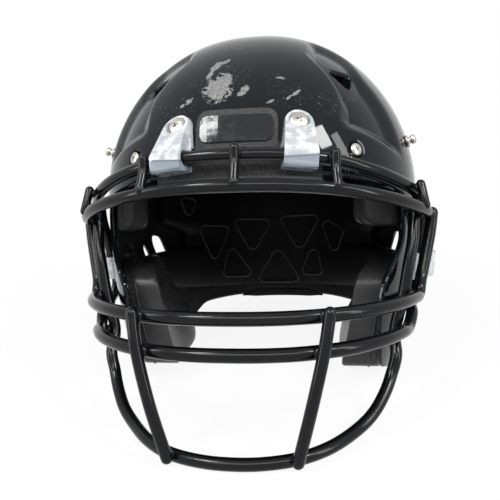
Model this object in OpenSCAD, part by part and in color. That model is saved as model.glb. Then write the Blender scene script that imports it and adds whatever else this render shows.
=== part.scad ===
// Football helmet with a welded wire face guard, standing on its chin wire and the rear corners of the shell.
// The pieces are laid out as worn (X to the wearer's left, Y to the back, Z up, zero at eye level),
// and stand() then leans the whole helmet back onto the table.

/* [Shell] */
// Outside width of the shell
shell_w = 229; // [215:1:245]
// Length of the shell from its widest section forward to the brow
front_l = 121; // [112:1:130]
// Length of the shell from its widest section back to the nape
rear_l = 150; // [138:1:160]
// Height of the crown above the widest level
crown_h = 121; // [112:1:130]
// Rate at which the sides draw in below the widest level, as the height of the lower half ellipse
skirt_h = 230; // [200:5:280]
// Squareness of the shell seen from above, where 2 is an ellipse
plan_n = 2.3; // [2.1:0.05:2.6]
// Wall of the moulded shell
wall = 4; // [3:0.25:5]
// Depth of the recessed front panels beside the centre ridge
panel_recess = 4; // [1:0.25:5]
// Half width of the centre ridge at the crown
ridge_half = 38; // [30:1:44]

/* [Face opening and rim] */
// Height of the shell's brow edge at the centre
brow_edge_z = 46; // [42:1:50]
// Distance from the brow back to the edge at the temple
temple_back = 59; // [54:1:64]
// Distance from the brow back to the cheek's most forward edge
cheek_back = 41; // [38:1:48]
// Height of the jaw flap's lower edge
jaw_z = -84; // [-90:1:-80]
// Height of the shell's lower rear corners, on which it stands
corner_z = -61; // [-64:1:-58]
// Height of the rim at the nape
nape_z = -46; // [-50:1:-42]

/* [Openings in the shell] */
// Width across the two ear windows
ear_w = 50; // [46:1:54]
// Height of the rear ear window
ear_h = 30; // [24:1:34]
// Distance of the ear windows' centre behind the widest section
ear_back = 50; // [46:1:56]
// Width of the rib between the ear windows
ear_rib = 13.8; // [10:0.2:16]
// Length of the edge of a triangular vent
vent_edge = 19; // [12:1:22]

/* [Guard wire] */
// Coated diameter of the two brow wires
brow_d = 7.6; // [6.5:0.1:8.5]
// Coated diameter of the mouth and chin wires
mouth_d = 8; // [7:0.1:9]
// Coated diameter of the uprights
post_d = 7; // [6:0.1:7.6]
// Coated diameter of the short ties between the brow wires
tie_d = 5.8; // [5:0.1:6.6]
// Gap left at a weld between two coated wires
weld_gap = 0.15; // [0.1:0.05:0.3]

/* [Guard shape] */
// Reach of the upper brow wire ahead of the shell
brow_reach = 12; // [10:0.5:14]
// Height of the upper brow wire at the centre
brow_upper_z = 54.5; // [52:0.5:57]
// Reach of the lower brow wire ahead of the shell
brow_lower_reach = 20; // [18:0.5:22]
// Height of the lower brow wire at the centre
brow_lower_z = 35.8; // [33:0.2:37]
// Reach of the upper mouth wire ahead of the shell
mouth_upper_reach = 34; // [30:0.5:38]
// Height of the upper mouth wire at the centre
mouth_upper_z = -36.8; // [-40:0.2:-34]
// Reach of the lower mouth wire ahead of the shell
mouth_lower_reach = 36; // [32:0.5:40]
// Height of the lower mouth wire at the centre
mouth_lower_z = -56; // [-60:0.5:-54]
// Reach of the chin wire ahead of the shell
chin_reach = 27.5; // [24:0.5:31]
// Height of the chin wire at the centre
chin_z = -116.5; // [-124:0.5:-112]
// Distance of the two uprights from the centre at the upper mouth wire
upright_x = 53.7; // [48:0.1:58]
// Spacing of the three front ties between the brow wires
tie_step = 53.5; // [52.5:0.1:58]

/* [Clips and screws] */
// Distance of the front clips from the centre
clip_x = 38; // [35:0.5:42]
// Width of a front clip at the guard wire
clip_w = 19.5; // [17:0.5:20.5]
// Thickness of a guard clip round the wire and under its screw
clip_t = 3; // [2:0.25:3.5]
// Height of the front clip screws
clip_screw_z = 74; // [71:0.5:77]
// Diameter of a clip screw's head
clip_head_d = 11.5; // [9:0.5:13]
// Diameter of the screw shanks
shank_d = 4.8; // [4:0.1:5.5]
// Diameter of a temple screw's head
temple_head_d = 7.9; // [6:0.1:9]
// Diameter of a chin strap stud's head
stud_head_d = 6.4; // [5.5:0.1:7.5]
// Length of the straight band round a stud's head
stud_band = 2; // [1.5:0.1:3]

/* [Bumpers] */
// Thickness of the rubber bumpers
bumper_t = 3; // [2:0.25:4]
// Half width of the front bumper's upper plate
bumper_half = 24.5; // [20:0.5:25.5]
// Half width of the front bumper's lip
lip_half = 50; // [44:1:56]
// Half width of the neck bumper
neck_half = 40; // [34:1:46]

/* [Lining] */
// Thickness of the back lining
back_pad_t = 16; // [10:0.5:20]
// Thickness of the crown pad
crown_pad_t = 18; // [10:0.5:22]
// Thickness of the forehead pad
front_pad_t = 18; // [10:0.5:22]
// Thickness of the temple pads
side_pad_t = 17; // [10:0.5:20]
// Thickness of the jaw pads at their front end
jaw_pad_t = 28; // [20:0.5:30]
// Extra thickness of the jaw pads at their lower rear
jaw_swell = 13; // [6:0.5:15]
// Gap between a pad and the shell
pad_gap = 0.6; // [0.4:0.05:0.8]

/* [Hidden] */

// Driving points of the form
wide_y = -17;
wide_z = 40;
front_y = wide_y - front_l;
half_w = shell_w / 2;
centre = [0, wide_y, wide_z];
ridge_flare = 22;
band_z = 56;
panel_soft = 8;
panel_sweep = 18;
ring_n = 64;
ring_steps = 22;
lowest_el = 150;

function sq(v) = v * v;
function unit(v) = v / norm(v);
function flip(p) = [-p.x, p.y, p.z];
function slice(list, from, to) = [for (i = [from:to]) list[i]];
function backwards(list) = [for (i = [len(list) - 1:-1:0]) list[i]];
function mean(ring) = [for (p = ring) 1] * ring / len(ring);
function ease(v) = let (t = min(1, max(0, v))) t * t * (3 - 2 * t);
function root(f, lo, hi, n = 26) =
    let (m = (lo + hi) / 2)
    n == 0 ? m : f(lo) * f(m) <= 0 ? root(f, lo, m, n - 1) : root(f, m, hi, n - 1);

// Outer form of the shell: an ellipse in height over a squared oval in plan
function reach_y(y) = y < wide_y ? front_l : rear_l;
function reach_z(z) = z > wide_z ? crown_h : skirt_h;
function plan_sum(p) = pow(abs(p.x) / half_w, plan_n) + pow(abs(p.y - wide_y) / reach_y(p.y), plan_n);
function field(p) = sqrt(pow(plan_sum(p), 2 / plan_n) + sq((p.z - wide_z) / reach_z(p.z)));
function level(z) = pow(1 - sq((z - wide_z) / reach_z(z)), plan_n / 2);
function shell_x(y, z) =
    half_w * pow(max(0, level(z) - pow(abs(y - wide_y) / reach_y(y), plan_n)), 1 / plan_n);
function across(x, z) = pow(max(0, level(z) - pow(abs(x) / half_w, plan_n)), 1 / plan_n);
function brow_y(x, z) = wide_y - front_l * across(x, z);
function nape_y(x, z) = wide_y + rear_l * across(x, z);
function outward(p) =
    let (
        k = pow(max(plan_sum(p), 1e-9), 2 / plan_n - 1),
        b = reach_y(p.y)
    )
    unit([
        k * pow(abs(p.x) / half_w, plan_n - 1) * sign(p.x) / half_w,
        k * pow(abs(p.y - wide_y) / b, plan_n - 1) * sign(p.y - wide_y) / b,
        (p.z - wide_z) / sq(reach_z(p.z))
    ]);
function inner_x(y, z, depth) = let (p = [shell_x(y, z), y, z]) p.x - depth / outward(p).x;

// The front panels sit back from the centre ridge and from the band over the brow
function ridge_edge(y) = ridge_half + ridge_flare * ease((front_y + 48 - y) / 22);
function band_edge(y) = band_z + 0.42 * max(0, front_y + 60 - y);
function panel(p) =
    ease((abs(p.x) - ridge_edge(p.y)) / panel_soft) * ease((p.z - band_edge(p.y)) / panel_soft)
    * ease((front_y + 60 + panel_sweep * ease((78 - abs(p.x)) / 14) - p.y) / 14);
function aim(az, el) = [sin(el) * sin(az), -sin(el) * cos(az), cos(el)];
function dome(az, el) = let (d = aim(az, el)) centre + d / field(centre + d);
function skin(az, el, depth) =
    let (p = dome(az, el)) p - outward(p) * (panel_recess * panel(p) + depth);

// Outline of the shell seen from the side, as [y, z, corner radius], with the part that is kept inside it
ear_y = wide_y + ear_back;
ear_z = -1;
ear_slant = 0.53;
corner_y = 90;
side_outline = [
    [front_y - 60, brow_edge_z + 12, 0],
    [front_y + temple_back - 5, brow_edge_z - 11, 16],
    [front_y + temple_back, 8, 20],
    [front_y + cheek_back, -24, 22],
    [front_y + cheek_back + 4, -48, 30],
    [front_y + cheek_back + 20, jaw_z + 4, 14],
    [front_y + cheek_back + 53, jaw_z, 18],
    [wide_y + 17, corner_z - 2, 40],
    [corner_y, corner_z, 55],
    [wide_y + rear_l + 7, nape_z + 12, 0],
    [wide_y + rear_l + 60, nape_z + 12, 0],
    [wide_y + rear_l + 60, wide_z + crown_h + 40, 0],
    [front_y - 60, wide_z + crown_h + 40, 0]
];
function point2(q) = [q.x, q.y];
function fillet_centre(a, v, b, r) =
    let (s = unit(a - v), t = unit(b - v), half = acos(s * t) / 2)
    v + unit(s + t) * r / sin(half);
function rounded(q, steps = 5) = [
    for (i = [0:len(q) - 1])
        let (
            a = point2(q[(i + len(q) - 1) % len(q)]),
            v = point2(q[i]),
            b = point2(q[(i + 1) % len(q)]),
            r = q[i][2]
        )
        each r == 0 ? [v] :
            let (
                c = fillet_centre(a, v, b, r),
                s = unit(a - v),
                t = unit(b - v),
                run = r / tan(acos(s * t) / 2),
                from = v + s * run - c,
                to = v + t * run - c
            )
            [for (k = [0:steps]) c + r * unit(from * (steps - k) + to * k)]
];
function rim_z(y) = corner_z + (nape_z + 12 - corner_z) * (y - corner_y) / (wide_y + rear_l + 7 - corner_y);
function brow_rim_z(y) =
    brow_edge_z + 12 - 23 * (y - front_y + 60) / (55 + temple_back);

// Stance: a line under the chin wire and the arc of the rear corners becomes level
chin_c = [front_y - chin_reach, chin_z];
corner_c = fillet_centre(point2(side_outline[7]), point2(side_outline[8]), point2(side_outline[9]), 55);
corner_gap = corner_c - chin_c;
lean = atan2(corner_gap.y, corner_gap.x) - asin((55 - mouth_d / 2) / norm(corner_gap));
lift = chin_c.x * sin(lean) - chin_c.y * cos(lean) + mouth_d / 2;
front_most = (chin_c.x - 1.7) * cos(lean) + chin_c.y * sin(lean) - post_d / 2;
rear_most = wide_y * cos(lean) + wide_z * sin(lean)
    + norm([rear_l * cos(lean), crown_h * sin(lean)]);
module stand() {
    translate([0, -(front_most + rear_most) / 2, lift])
        rotate([-lean, 0, 0])
            children();
}

// Places a piece on the shell with Z out of the surface and X level
module seat(p) {
    n = outward(p);
    a = unit(cross([0, 0, 1], n));
    b = cross(n, a);
    s = p - n * panel_recess * panel(p);
    multmatrix([
        [a.x, b.x, n.x, s.x],
        [a.y, b.y, n.y, s.y],
        [a.z, b.z, n.z, s.z],
        [0, 0, 0, 1]
    ])
        children();
}
module both_sides() {
    children();
    mirror([1, 0, 0])
        children();
}

// A solid through rings of points, each seen anticlockwise when looking along the run
module loft(rings, fan = true, caps = []) {
    n = len(rings[0]);
    m = len(rings);
    walls = [
        for (k = [0:m - 2])
            for (i = [0:n - 1])
                let (a = k * n + i, b = k * n + (i + 1) % n, c = b + n, d = a + n)
                each [[a, b, c], [a, c, d]]
    ];
    if (fan)
        polyhedron(
            points = concat(
                [for (r = rings) each r],
                len(caps) == 2 ? caps : [mean(rings[0]), mean(rings[m - 1])]
            ),
            faces = concat(
                walls,
                [for (i = [0:n - 1]) [m * n, (i + 1) % n, i]],
                [for (i = [0:n - 1]) [m * n + 1, (m - 1) * n + i, (m - 1) * n + (i + 1) % n]]
            ),
            convexity = 8
        );
    else
        polyhedron(
            points = [for (r = rings) each r],
            faces = concat(
                walls,
                [[for (i = [n - 1:-1:0]) i]],
                [[for (i = [0:n - 1]) (m - 1) * n + i]]
            ),
            convexity = 8
        );
}
module dome_solid(depth) {
    rings = [
        for (k = [1:ring_steps])
            [for (i = [0:ring_n - 1]) skin(360 * i / ring_n, lowest_el * k / ring_steps, depth)]
    ];
    loft(rings);
}

// Screw places on the shell
function front_at(x, z) = [x, brow_y(x, z), z];
function side_at(y, z) = [shell_x(y, z), y, z];
function on_dome(x, y) =
    [x, y, wide_z + crown_h * sqrt(1 - pow(plan_sum([x, y, 0]), 2 / plan_n))];
temple_p = front_at(70, 60);
stud_places = [side_at(front_y + 77, 73), side_at(wide_y + 25, -38)];
hole_gap = 0.25;
nut_r = shank_d / 2 + 1.6;
nut_deep = 1.9;
stud_neck_r = 2.3;
stud_base_r = 4.3;
front_vent_p = on_dome(65, front_y + 46);
rear_vent_p = on_dome(60, wide_y + 82);
crown_vent_p = on_dome(24, wide_y + 62);

module shell() {
    color("#101214")
        difference() {
            intersection() {
                difference() {
                    dome_solid(0);
                    dome_solid(wall);
                }
                rotate([90, 0, 90])
                    linear_extrude(height = 2 * shell_w, center = true)
                        polygon(rounded(side_outline));
            }
            both_sides() {
                ear_hole();
                vent(front_vent_p, 200);
                vent(rear_vent_p, 20);
                crown_slot();
                screw_hole(clip_screw_p, nut_r + hole_gap);
                screw_hole(side_screw_p, nut_r + hole_gap);
                screw_hole(temple_p, shank_d / 2 + hole_gap);
                seat(temple_p)
                    translate([0, 0, -1])
                        cylinder(r = temple_head_d / 2 + 1.2, h = 10, $fn = 24);
                for (p = stud_places)
                    screw_hole(p, stud_neck_r + hole_gap);
            }
        }
}
module screw_hole(p, r) {
    seat(p)
        cylinder(r = r, h = 6 * wall, center = true, $fn = 20);
}
module ear_window(high, low, front, rear) {
    corner = 3.5;
    rotate([90, 0, 90])
        hull()
            for (q = [[front[0], rear[0], high - corner], [front[1], rear[1], low + corner]]) {
                translate([q[0] + corner, q[2], half_w - 60])
                    cylinder(r = corner, h = 120, $fn = 24);
                translate([q[1] - corner, q[2], half_w - 60])
                    cylinder(r = corner, h = 120, $fn = 24);
            }
}
module ear_hole() {
    top = ear_z + ear_h / 2;
    rear = ear_y + ear_w / 2;
    front = ear_y - ear_w / 2;
    mid = ear_y - 0.12 * ear_w;
    drop = 0.23 * ear_h;
    small_h = 0.63 * ear_h;
    small_rear = mid - ear_rib + ear_slant * drop;
    ear_window(
        top,
        top - ear_h,
        [mid, mid + ear_slant * ear_h],
        [rear - 0.4 * ear_h, rear]
    );
    ear_window(
        top - drop,
        top - drop - small_h,
        [front, front + ear_slant * small_h],
        [small_rear, small_rear + ear_slant * small_h]
    );
}
module vent(p, turn) {
    seat(p)
        rotate([0, 0, turn])
            hull()
                for (a = [90, 210, 330])
                    rotate([0, 0, a])
                        translate([vent_edge / 2 - 2.5, 0, -8])
                            cylinder(r = 2.5, h = 16, $fn = 16);
}
module crown_slot() {
    seat(crown_vent_p)
        hull()
            for (s = [-1, 1])
                translate([0, s * vent_edge / 2, -8])
                    cylinder(r = 3.5, h = 16, $fn = 16);
}

// Guard wires: each bar is [half width, front y, depth, height at the centre, rise at the ends]
guard_n = 2.2;
bar_upper = [half_w - 0.5, front_y - brow_reach, 100, brow_upper_z, -21];
bar_lower = [half_w + 5, front_y - brow_lower_reach, 103, brow_lower_z, -13.7];
bar_mouth = [half_w - 4, front_y - mouth_upper_reach, 109, mouth_upper_z, 6.8];
bar_under = [half_w - 11, front_y - mouth_lower_reach, 101, mouth_lower_z, 6.8];
function bar_y(b, x) = b[1] + b[2] * (1 - pow(max(0, 1 - pow(abs(x) / b[0], guard_n)), 1 / guard_n));
function bar_x(b, y) = b[0] * pow(1 - pow((b[1] + b[2] - y) / b[2], guard_n), 1 / guard_n);
function bar_z(b, x) = b[3] + b[4] * pow(abs(x) / b[0], 2.5);
function bar(b, x) = [x, bar_y(b, x), bar_z(b, x)];
function bar_out(b, x) =
    let (d = bar(b, x + 0.1) - bar(b, x - 0.1)) unit([d.y, -d.x, 0]);
function bar_points(b, shares) = [for (s = shares) bar(b, s * b[0])];

function blend(a, b, c, d, t) =
    0.5 * (2 * b + (c - a) * t + (2 * a - 5 * b + 4 * c - d) * t * t + (3 * b - a - 3 * c + d) * t * t * t);
pitch = 9;
function steps_of(b, c) = max(1, round(norm(c - b) / pitch));
function spline(p) =
    let (n = len(p))
    concat(
        [
            for (i = [0:n - 2])
                let (
                    b = p[i],
                    c = p[i + 1],
                    a = i == 0 ? 2 * b - c : p[i - 1],
                    d = i == n - 2 ? 2 * c - b : p[i + 2],
                    steps = steps_of(b, c)
                )
                for (s = [0:steps - 1]) blend(a, b, c, d, s / steps)
        ],
        [p[n - 1]]
    );
function ring_spline(p) =
    let (n = len(p))
    [
        for (i = [0:n - 1])
            let (
                a = p[(i + n - 1) % n],
                b = p[i],
                c = p[(i + 1) % n],
                d = p[(i + 2) % n],
                steps = steps_of(b, c)
            )
            for (s = [0:steps - 1]) blend(a, b, c, d, s / steps)
    ];
function tangents(path) =
    let (n = len(path)) [for (i = [0:n - 1]) unit(path[min(i + 1, n - 1)] - path[max(i - 1, 0)])];
function ring_tangents(path) =
    let (n = len(path)) [for (i = [0:n - 1]) unit(path[(i + 1) % n] - path[(i + n - 1) % n])];
function carry(ts, v, i = 0) =
    i == len(ts) ? [] :
        let (m = unit(v - (v * ts[i]) * ts[i])) concat([m], carry(ts, m, i + 1));
function circle_at(p, t, side, r, n) =
    let (up = cross(side, t))
    [for (i = [0:n - 1]) p + r * (cos(360 * i / n) * side + sin(360 * i / n) * up)];
module tube(path, ts, d, nose_from = false, nose_to = false, n = 10) {
    r = d / 2;
    last = len(path) - 1;
    sides = carry(ts, abs(ts[0].z) > 0.8 ? [0, 1, 0] : [0, 0, 1]);
    turns = [80, 55, 28];
    loft(concat(
        nose_from
            ? [for (a = turns) circle_at(path[0] - ts[0] * r * sin(a), ts[0], sides[0], r * cos(a), n)]
            : [],
        [for (i = [0:last]) circle_at(path[i], ts[i], sides[i], r, n)],
        nose_to
            ? [
                for (a = backwards(turns))
                    circle_at(path[last] + ts[last] * r * sin(a), ts[last], sides[last], r * cos(a), n)
            ]
            : []
    ));
}
module wire(points, d, nose_from = false, nose_to = false) {
    path = spline(points);
    tube(path, tangents(path), d, nose_from, nose_to);
}
function whole(half) = concat(backwards([for (i = [1:len(half) - 1]) flip(half[i])]), half);

// One closed wire: upper brow bar, down both sides of the shell, and forward into the lower mouth bar
side_run = [
    [-74, 32.5, 2.8],
    [-61, 22, 2.4],
    [-51, 8, 1],
    [-42, -10, 0.8],
    [-38.5, -21, 0.8],
    [-46, -29.5, 1.2],
    [-62, -34, 2.4],
    [-79, -37.5, 5.6]
];
function side_point(q) = [shell_x(q.x, q.y) + brow_d / 2 + q.z, q.x, q.y];
function run_y(y) = front_y + 138 + y;
side_points = [for (q = side_run) side_point([run_y(q.x), q.y, q.z])];
mouth_end = [bar_under[0] + 0.8, run_y(-90), mouth_lower_z + 14.5];
under_points = bar_points(bar_under, [0.975, 0.92, 0.8, 0.62, 0.4, 0.2, 0]);
loop_half = concat(
    bar_points(bar_upper, [0, 0.26, 0.5, 0.7, 0.85, 0.94]),
    side_points,
    [mouth_end],
    under_points
);
loop_points = concat(
    backwards([for (p = loop_half) flip(p)]),
    slice(loop_half, 1, len(loop_half) - 2)
);
loop_path = ring_spline(loop_points);
loop_ts = ring_tangents(loop_path);
loop_n = len(loop_path);
function steps_to(p, last) = last == 0 ? 0 : steps_of(p[last - 1], p[last]) + steps_to(p, last - 1);
mouth_cut = steps_to(loop_points, len(under_points));

module guard_brow_hoop() {
    color("#0b0b0c")
        tube(
            slice(loop_path, mouth_cut, loop_n - mouth_cut),
            slice(loop_ts, mouth_cut, loop_n - mouth_cut),
            brow_d
        );
}
module guard_mouth_lower() {
    order = [for (i = [-mouth_cut:mouth_cut]) (i + loop_n) % loop_n];
    color("#0b0b0c")
        tube([for (i = order) loop_path[i]], [for (i = order) loop_ts[i]], mouth_d);
}
module guard_brow_lower() {
    half = concat(
        bar_points(bar_lower, [0, 0.22, 0.44, 0.62, 0.77, 0.88, 0.95]),
        [
            [bar_lower[0] - 5, run_y(-86), brow_lower_z - 12.8],
            [bar_lower[0] - 5.3, run_y(-78), brow_lower_z - 13.2]
        ]
    );
    color("#0b0b0c")
        wire(whole(half), brow_d, true, true);
}
module guard_mouth_upper() {
    half = concat(
        bar_points(bar_mouth, [0, 0.26, 0.5, 0.7, 0.86, 0.955, 0.985]),
        [
            [bar_mouth[0] - 1, run_y(-86), mouth_upper_z + 9.5],
            [bar_mouth[0] + 0.8, run_y(-80.5), mouth_upper_z + 17],
            [bar_mouth[0] + 3.4, run_y(-77.5), mouth_upper_z + 27.5],
            [bar_mouth[0] + 5.8, run_y(-75.5), mouth_upper_z + 38],
            [bar_mouth[0] + 8, run_y(-73.7), mouth_upper_z + 49],
            [bar_mouth[0] + 9.5, run_y(-72.3), mouth_upper_z + 60]
        ]
    );
    color("#0b0b0c")
        wire(whole(half), mouth_d, true, true);
}
weld = (mouth_d + post_d) / 2 + weld_gap;
brow_weld = (brow_d + tie_d) / 2 + weld_gap;
function inside_bar(b, y, apart) = let (x = bar_x(b, y)) bar(b, x) - bar_out(b, x) * apart / 2;
module guard_chin_wire() {
    top = bar(bar_upper, bar_x(bar_upper, run_y(-89.5)));
    under_brow = inside_bar(bar_lower, run_y(-91), brow_d + mouth_d - 0.4 + 2 * weld_gap);
    half = [
        [0, front_y - chin_reach, chin_z],
        [18, front_y - chin_reach + 1.5, chin_z + 0.5],
        [36.7, front_y - chin_reach + 7, chin_z + 2.3],
        [53, front_y - chin_reach + 18.5, chin_z + 5.3],
        [67, front_y - chin_reach + 33, chin_z + 10.5],
        [77.5, front_y - chin_reach + 43.5, chin_z + 18],
        [85, front_y - chin_reach + 53, chin_z + 28],
        [89.6, front_y - chin_reach + 59.5, chin_z + 38],
        [93, front_y - chin_reach + 62.5, chin_z + 50],
        inside_bar(bar_under, run_y(-98), 2 * mouth_d + 1.2) + [0, 0, -3],
        inside_bar(bar_mouth, run_y(-98), 2 * mouth_d) + [0, 0, 1],
        [bar_mouth[0] - 8.5, run_y(-95.5), mouth_upper_z + 26],
        [bar_mouth[0] - 5.3, run_y(-93), mouth_upper_z + 42],
        [under_brow.x, under_brow.y, top.z - 14],
        [top.x - 0.6, top.y - 0.6, top.z - brow_d / 2 - 1.2]
    ];
    color("#0b0b0c")
        wire(whole(half), mouth_d - 0.4);
}
module guard_upright() {
    shares = [51, 47.8, 33.5] / 53.7 * upright_x;
    at_mouth = bar(bar_mouth, shares[0]) + weld * bar_out(bar_mouth, shares[0]);
    at_under = bar(bar_under, shares[1]) + weld * bar_out(bar_under, shares[1]);
    at_chin = [shares[2] + 3.2, front_y - chin_reach + 6.3 - weld, chin_z + 3.5];
    color("#0b0b0c")
        wire(
            [
                at_mouth + [0.6, 0, 4.5],
                at_mouth,
                at_under,
                (at_under + at_chin) / 2 + [0.3, -2.2, 0],
                at_chin + [-0.4, 0.2, -1]
            ],
            post_d,
            true,
            true
        );
}
module guard_upright_left() {
    guard_upright();
}
module guard_upright_right() {
    mirror([1, 0, 0])
        guard_upright();
}
module tie(x, top) {
    p = bar(bar_upper, x) + brow_weld * bar_out(bar_upper, x);
    foot = bar_z(bar_lower, p.x) + brow_d / 2 + weld_gap + 0.6;
    translate([p.x, p.y, foot])
        cylinder(d = tie_d, h = p.z + top - foot, $fn = 24);
    translate([p.x, p.y, p.z + top])
        sphere(d = tie_d, $fn = 24);
}
module guard_brow_ties() {
    shift = 2;
    end = 0.895 * bar_upper[0];
    color("#0b0b0c") {
        for (k = [-1, 0, 1])
            tie(shift + k * tie_step, 3);
        for (k = [-1, 1])
            tie(shift + k * end, -1.5);
    }
}

// Front clips: a clear block screwed to the shell and hooked over the front of the upper brow wire
clip_gap = 0.9;
seat_gap = 0.3;
loop_r = brow_d / 2 + clip_gap;
clip_c = bar(bar_upper, clip_x);
clip_side = unit(bar(bar_upper, clip_x + 1) - bar(bar_upper, clip_x - 1));
clip_up = unit([0, 0, 1] - clip_side.z * clip_side);
clip_out = cross(clip_side, clip_up);
function shell_gap(c, out, up, b) =
    root(function(a) field(c + out * a + up * b) - 1, -60, 30);
screw_rise = clip_screw_z - clip_c.z;
clip_screw_p = clip_c + clip_up * screw_rise
    + clip_out * shell_gap(clip_c, clip_out, clip_up, screw_rise);
module frame_at(c, a, b, n) {
    multmatrix([
        [a.x, b.x, n.x, c.x],
        [a.y, b.y, n.y, c.y],
        [a.z, b.z, n.z, c.z],
        [0, 0, 0, 1]
    ])
        children();
}
module front_clip() {
    top = screw_rise + clip_head_d / 2 + 3.2;
    front = loop_r + clip_t;
    foot = -front;
    step = lip_top + 2.6 - clip_c.z;
    top_w = clip_w - 2.5;
    heights = [for (k = [0:5]) top + (step - top) * k / 5];
    function back(b) = shell_gap(clip_c, clip_out, clip_up, b) + seat_gap;
    function bare(b) = back(b) + bumper_t + 2 * seat_gap;
    color("#d9dde0", 0.5)
        difference() {
            intersection() {
                frame_at(clip_c, clip_out, clip_up, clip_side * -1)
                    linear_extrude(height = clip_w, center = true)
                        difference() {
                            polygon(concat(
                                [for (b = heights) [back(b), b]],
                                [[bare(step), step], [bare(foot), foot]],
                                [[front - 1.5, foot], [front, foot + 1.5], [front, 2]],
                                [[back(top) + clip_t, top + 0.6]]
                            ));
                            hull() {
                                circle(r = loop_r, $fn = 40);
                                translate([-20, 0])
                                    circle(r = loop_r, $fn = 40);
                            }
                        }
                frame_at(clip_c, clip_side, clip_up, cross(clip_side, clip_up))
                    linear_extrude(height = 80, center = true)
                        hull() {
                            translate([0, top - top_w / 2])
                                circle(d = top_w, $fn = 48);
                            translate([-clip_w / 2, foot - 1])
                                square([clip_w, 5 - foot]);
                        }
            }
            seat(clip_screw_p) {
                cylinder(r = shank_d / 2 + hole_gap, h = 30, center = true, $fn = 24);
                translate([0, 0, clip_top + 0.2])
                    cylinder(r = clip_head_d / 2 + 0.6, h = 20, $fn = 32);
            }
        }
}
module front_clip_left() {
    front_clip();
}
module front_clip_right() {
    mirror([1, 0, 0])
        front_clip();
}

// Side clips: a saddle over the guard's side run, screwed down behind it
saddle_c = side_points[3];
saddle_run = unit(side_points[2] - side_points[4]);
saddle_out = unit(outward(side_at(saddle_c.y, saddle_c.z))
    - (outward(side_at(saddle_c.y, saddle_c.z)) * saddle_run) * saddle_run);
saddle_back = cross(saddle_run, saddle_out);
saddle_h = 17;
side_screw_p = let (
    c = saddle_c + saddle_back * 17
)
    c + saddle_out * shell_gap(c, saddle_out, saddle_run, 0);
module side_clip() {
    function floor_at(s) = shell_gap(saddle_c + saddle_back * s, saddle_out, saddle_run, 0) + seat_gap;
    spans = [-13, -8, -4, 0, 4, 8, 13, 18, 22, 26];
    feet = [for (s = spans) [s, floor_at(s)]];
    color("#d9dde0", 0.5)
        difference() {
            frame_at(saddle_c, saddle_back, saddle_out, cross(saddle_back, saddle_out))
                linear_extrude(height = saddle_h, center = true)
                    difference() {
                        union() {
                            intersection() {
                                circle(r = loop_r + clip_t, $fn = 40);
                                polygon(concat(feet, [[26, 30], [-13, 30]]));
                            }
                            polygon(concat(feet, backwards([for (q = feet) q + [0, clip_t]])));
                        }
                        circle(r = loop_r, $fn = 40);
                    }
            seat(side_screw_p)
                cylinder(r = shank_d / 2 + hole_gap, h = 30, center = true, $fn = 24);
        }
}
module side_clip_left() {
    side_clip();
}
module side_clip_right() {
    mirror([1, 0, 0])
        side_clip();
}

// Fasteners, modelled standing on the shell's outer face at zero
module pan_head(d, h) {
    difference() {
        union() {
            cylinder(d = d, h = h * 0.5, $fn = 32);
            translate([0, 0, h * 0.5])
                cylinder(d1 = d, d2 = d * 0.62, h = h * 0.5, $fn = 32);
        }
        for (a = [45, 135])
            rotate([0, 0, a])
                translate([-d * 0.22, -0.6, h * 0.45])
                    cube([d * 0.44, 1.2, h]);
    }
}
module screw(head_d, base, length) {
    translate([0, 0, base])
        pan_head(head_d, 0.26 * head_d);
    translate([0, 0, base - length])
        cylinder(d = shank_d, h = length + 0.2, $fn = 24);
}
clip_top = seat_gap + clip_t + 0.15;
module front_clip_screws() {
    color("#c9c7c2")
        both_sides()
            seat(clip_screw_p)
                screw(clip_head_d, clip_top + 0.5, clip_top + 0.5 + wall);
}
module side_clip_screws() {
    color("#c9c7c2")
        both_sides()
            seat(side_screw_p)
                screw(clip_head_d - 2, clip_top + 0.3, clip_top + 0.3 + wall);
}
module clip_t_nuts() {
    color("#b9b7b0")
        both_sides()
            for (p = [clip_screw_p, side_screw_p])
                seat(p)
                    difference() {
                        union() {
                            translate([0, 0, -wall - nut_deep])
                                cylinder(r = nut_r, h = wall + nut_deep - 0.5, $fn = 24);
                            translate([0, 0, -wall - nut_deep])
                                cylinder(r = nut_r + 4, h = 1.2, $fn = 32);
                        }
                        cylinder(r = shank_d / 2 + 0.1, h = 30, center = true, $fn = 24);
                    }
}
module temple_screws() {
    color("#c9c7c2")
        both_sides()
            seat(temple_p)
                screw(temple_head_d, -0.8, wall - 0.8);
}
module chin_strap_studs() {
    color("#c9c7c2")
        both_sides()
            for (p = stud_places)
                seat(p) {
                    translate([0, 0, -wall - nut_deep])
                        cylinder(r = stud_neck_r, h = wall + nut_deep + 4.2, $fn = 32);
                    translate([0, 0, 0.2])
                        cylinder(r = stud_base_r, h = 1.6, $fn = 32);
                    translate([0, 0, 4])
                        cylinder(d = stud_head_d, h = stud_band, $fn = 32);
                    translate([0, 0, 4 + stud_band])
                        cylinder(d1 = stud_head_d, d2 = 0.6 * stud_head_d, h = 0.9, $fn = 32);
                }
}
module stud_washers() {
    color("#b9b7b0")
        both_sides()
            for (p = stud_places)
                seat(p)
                    translate([0, 0, -wall - nut_deep])
                        difference() {
                            cylinder(r = 7, h = 1, $fn = 32);
                            cylinder(r = stud_neck_r + 0.15, h = 4, center = true, $fn = 32);
                        }
}

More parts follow.
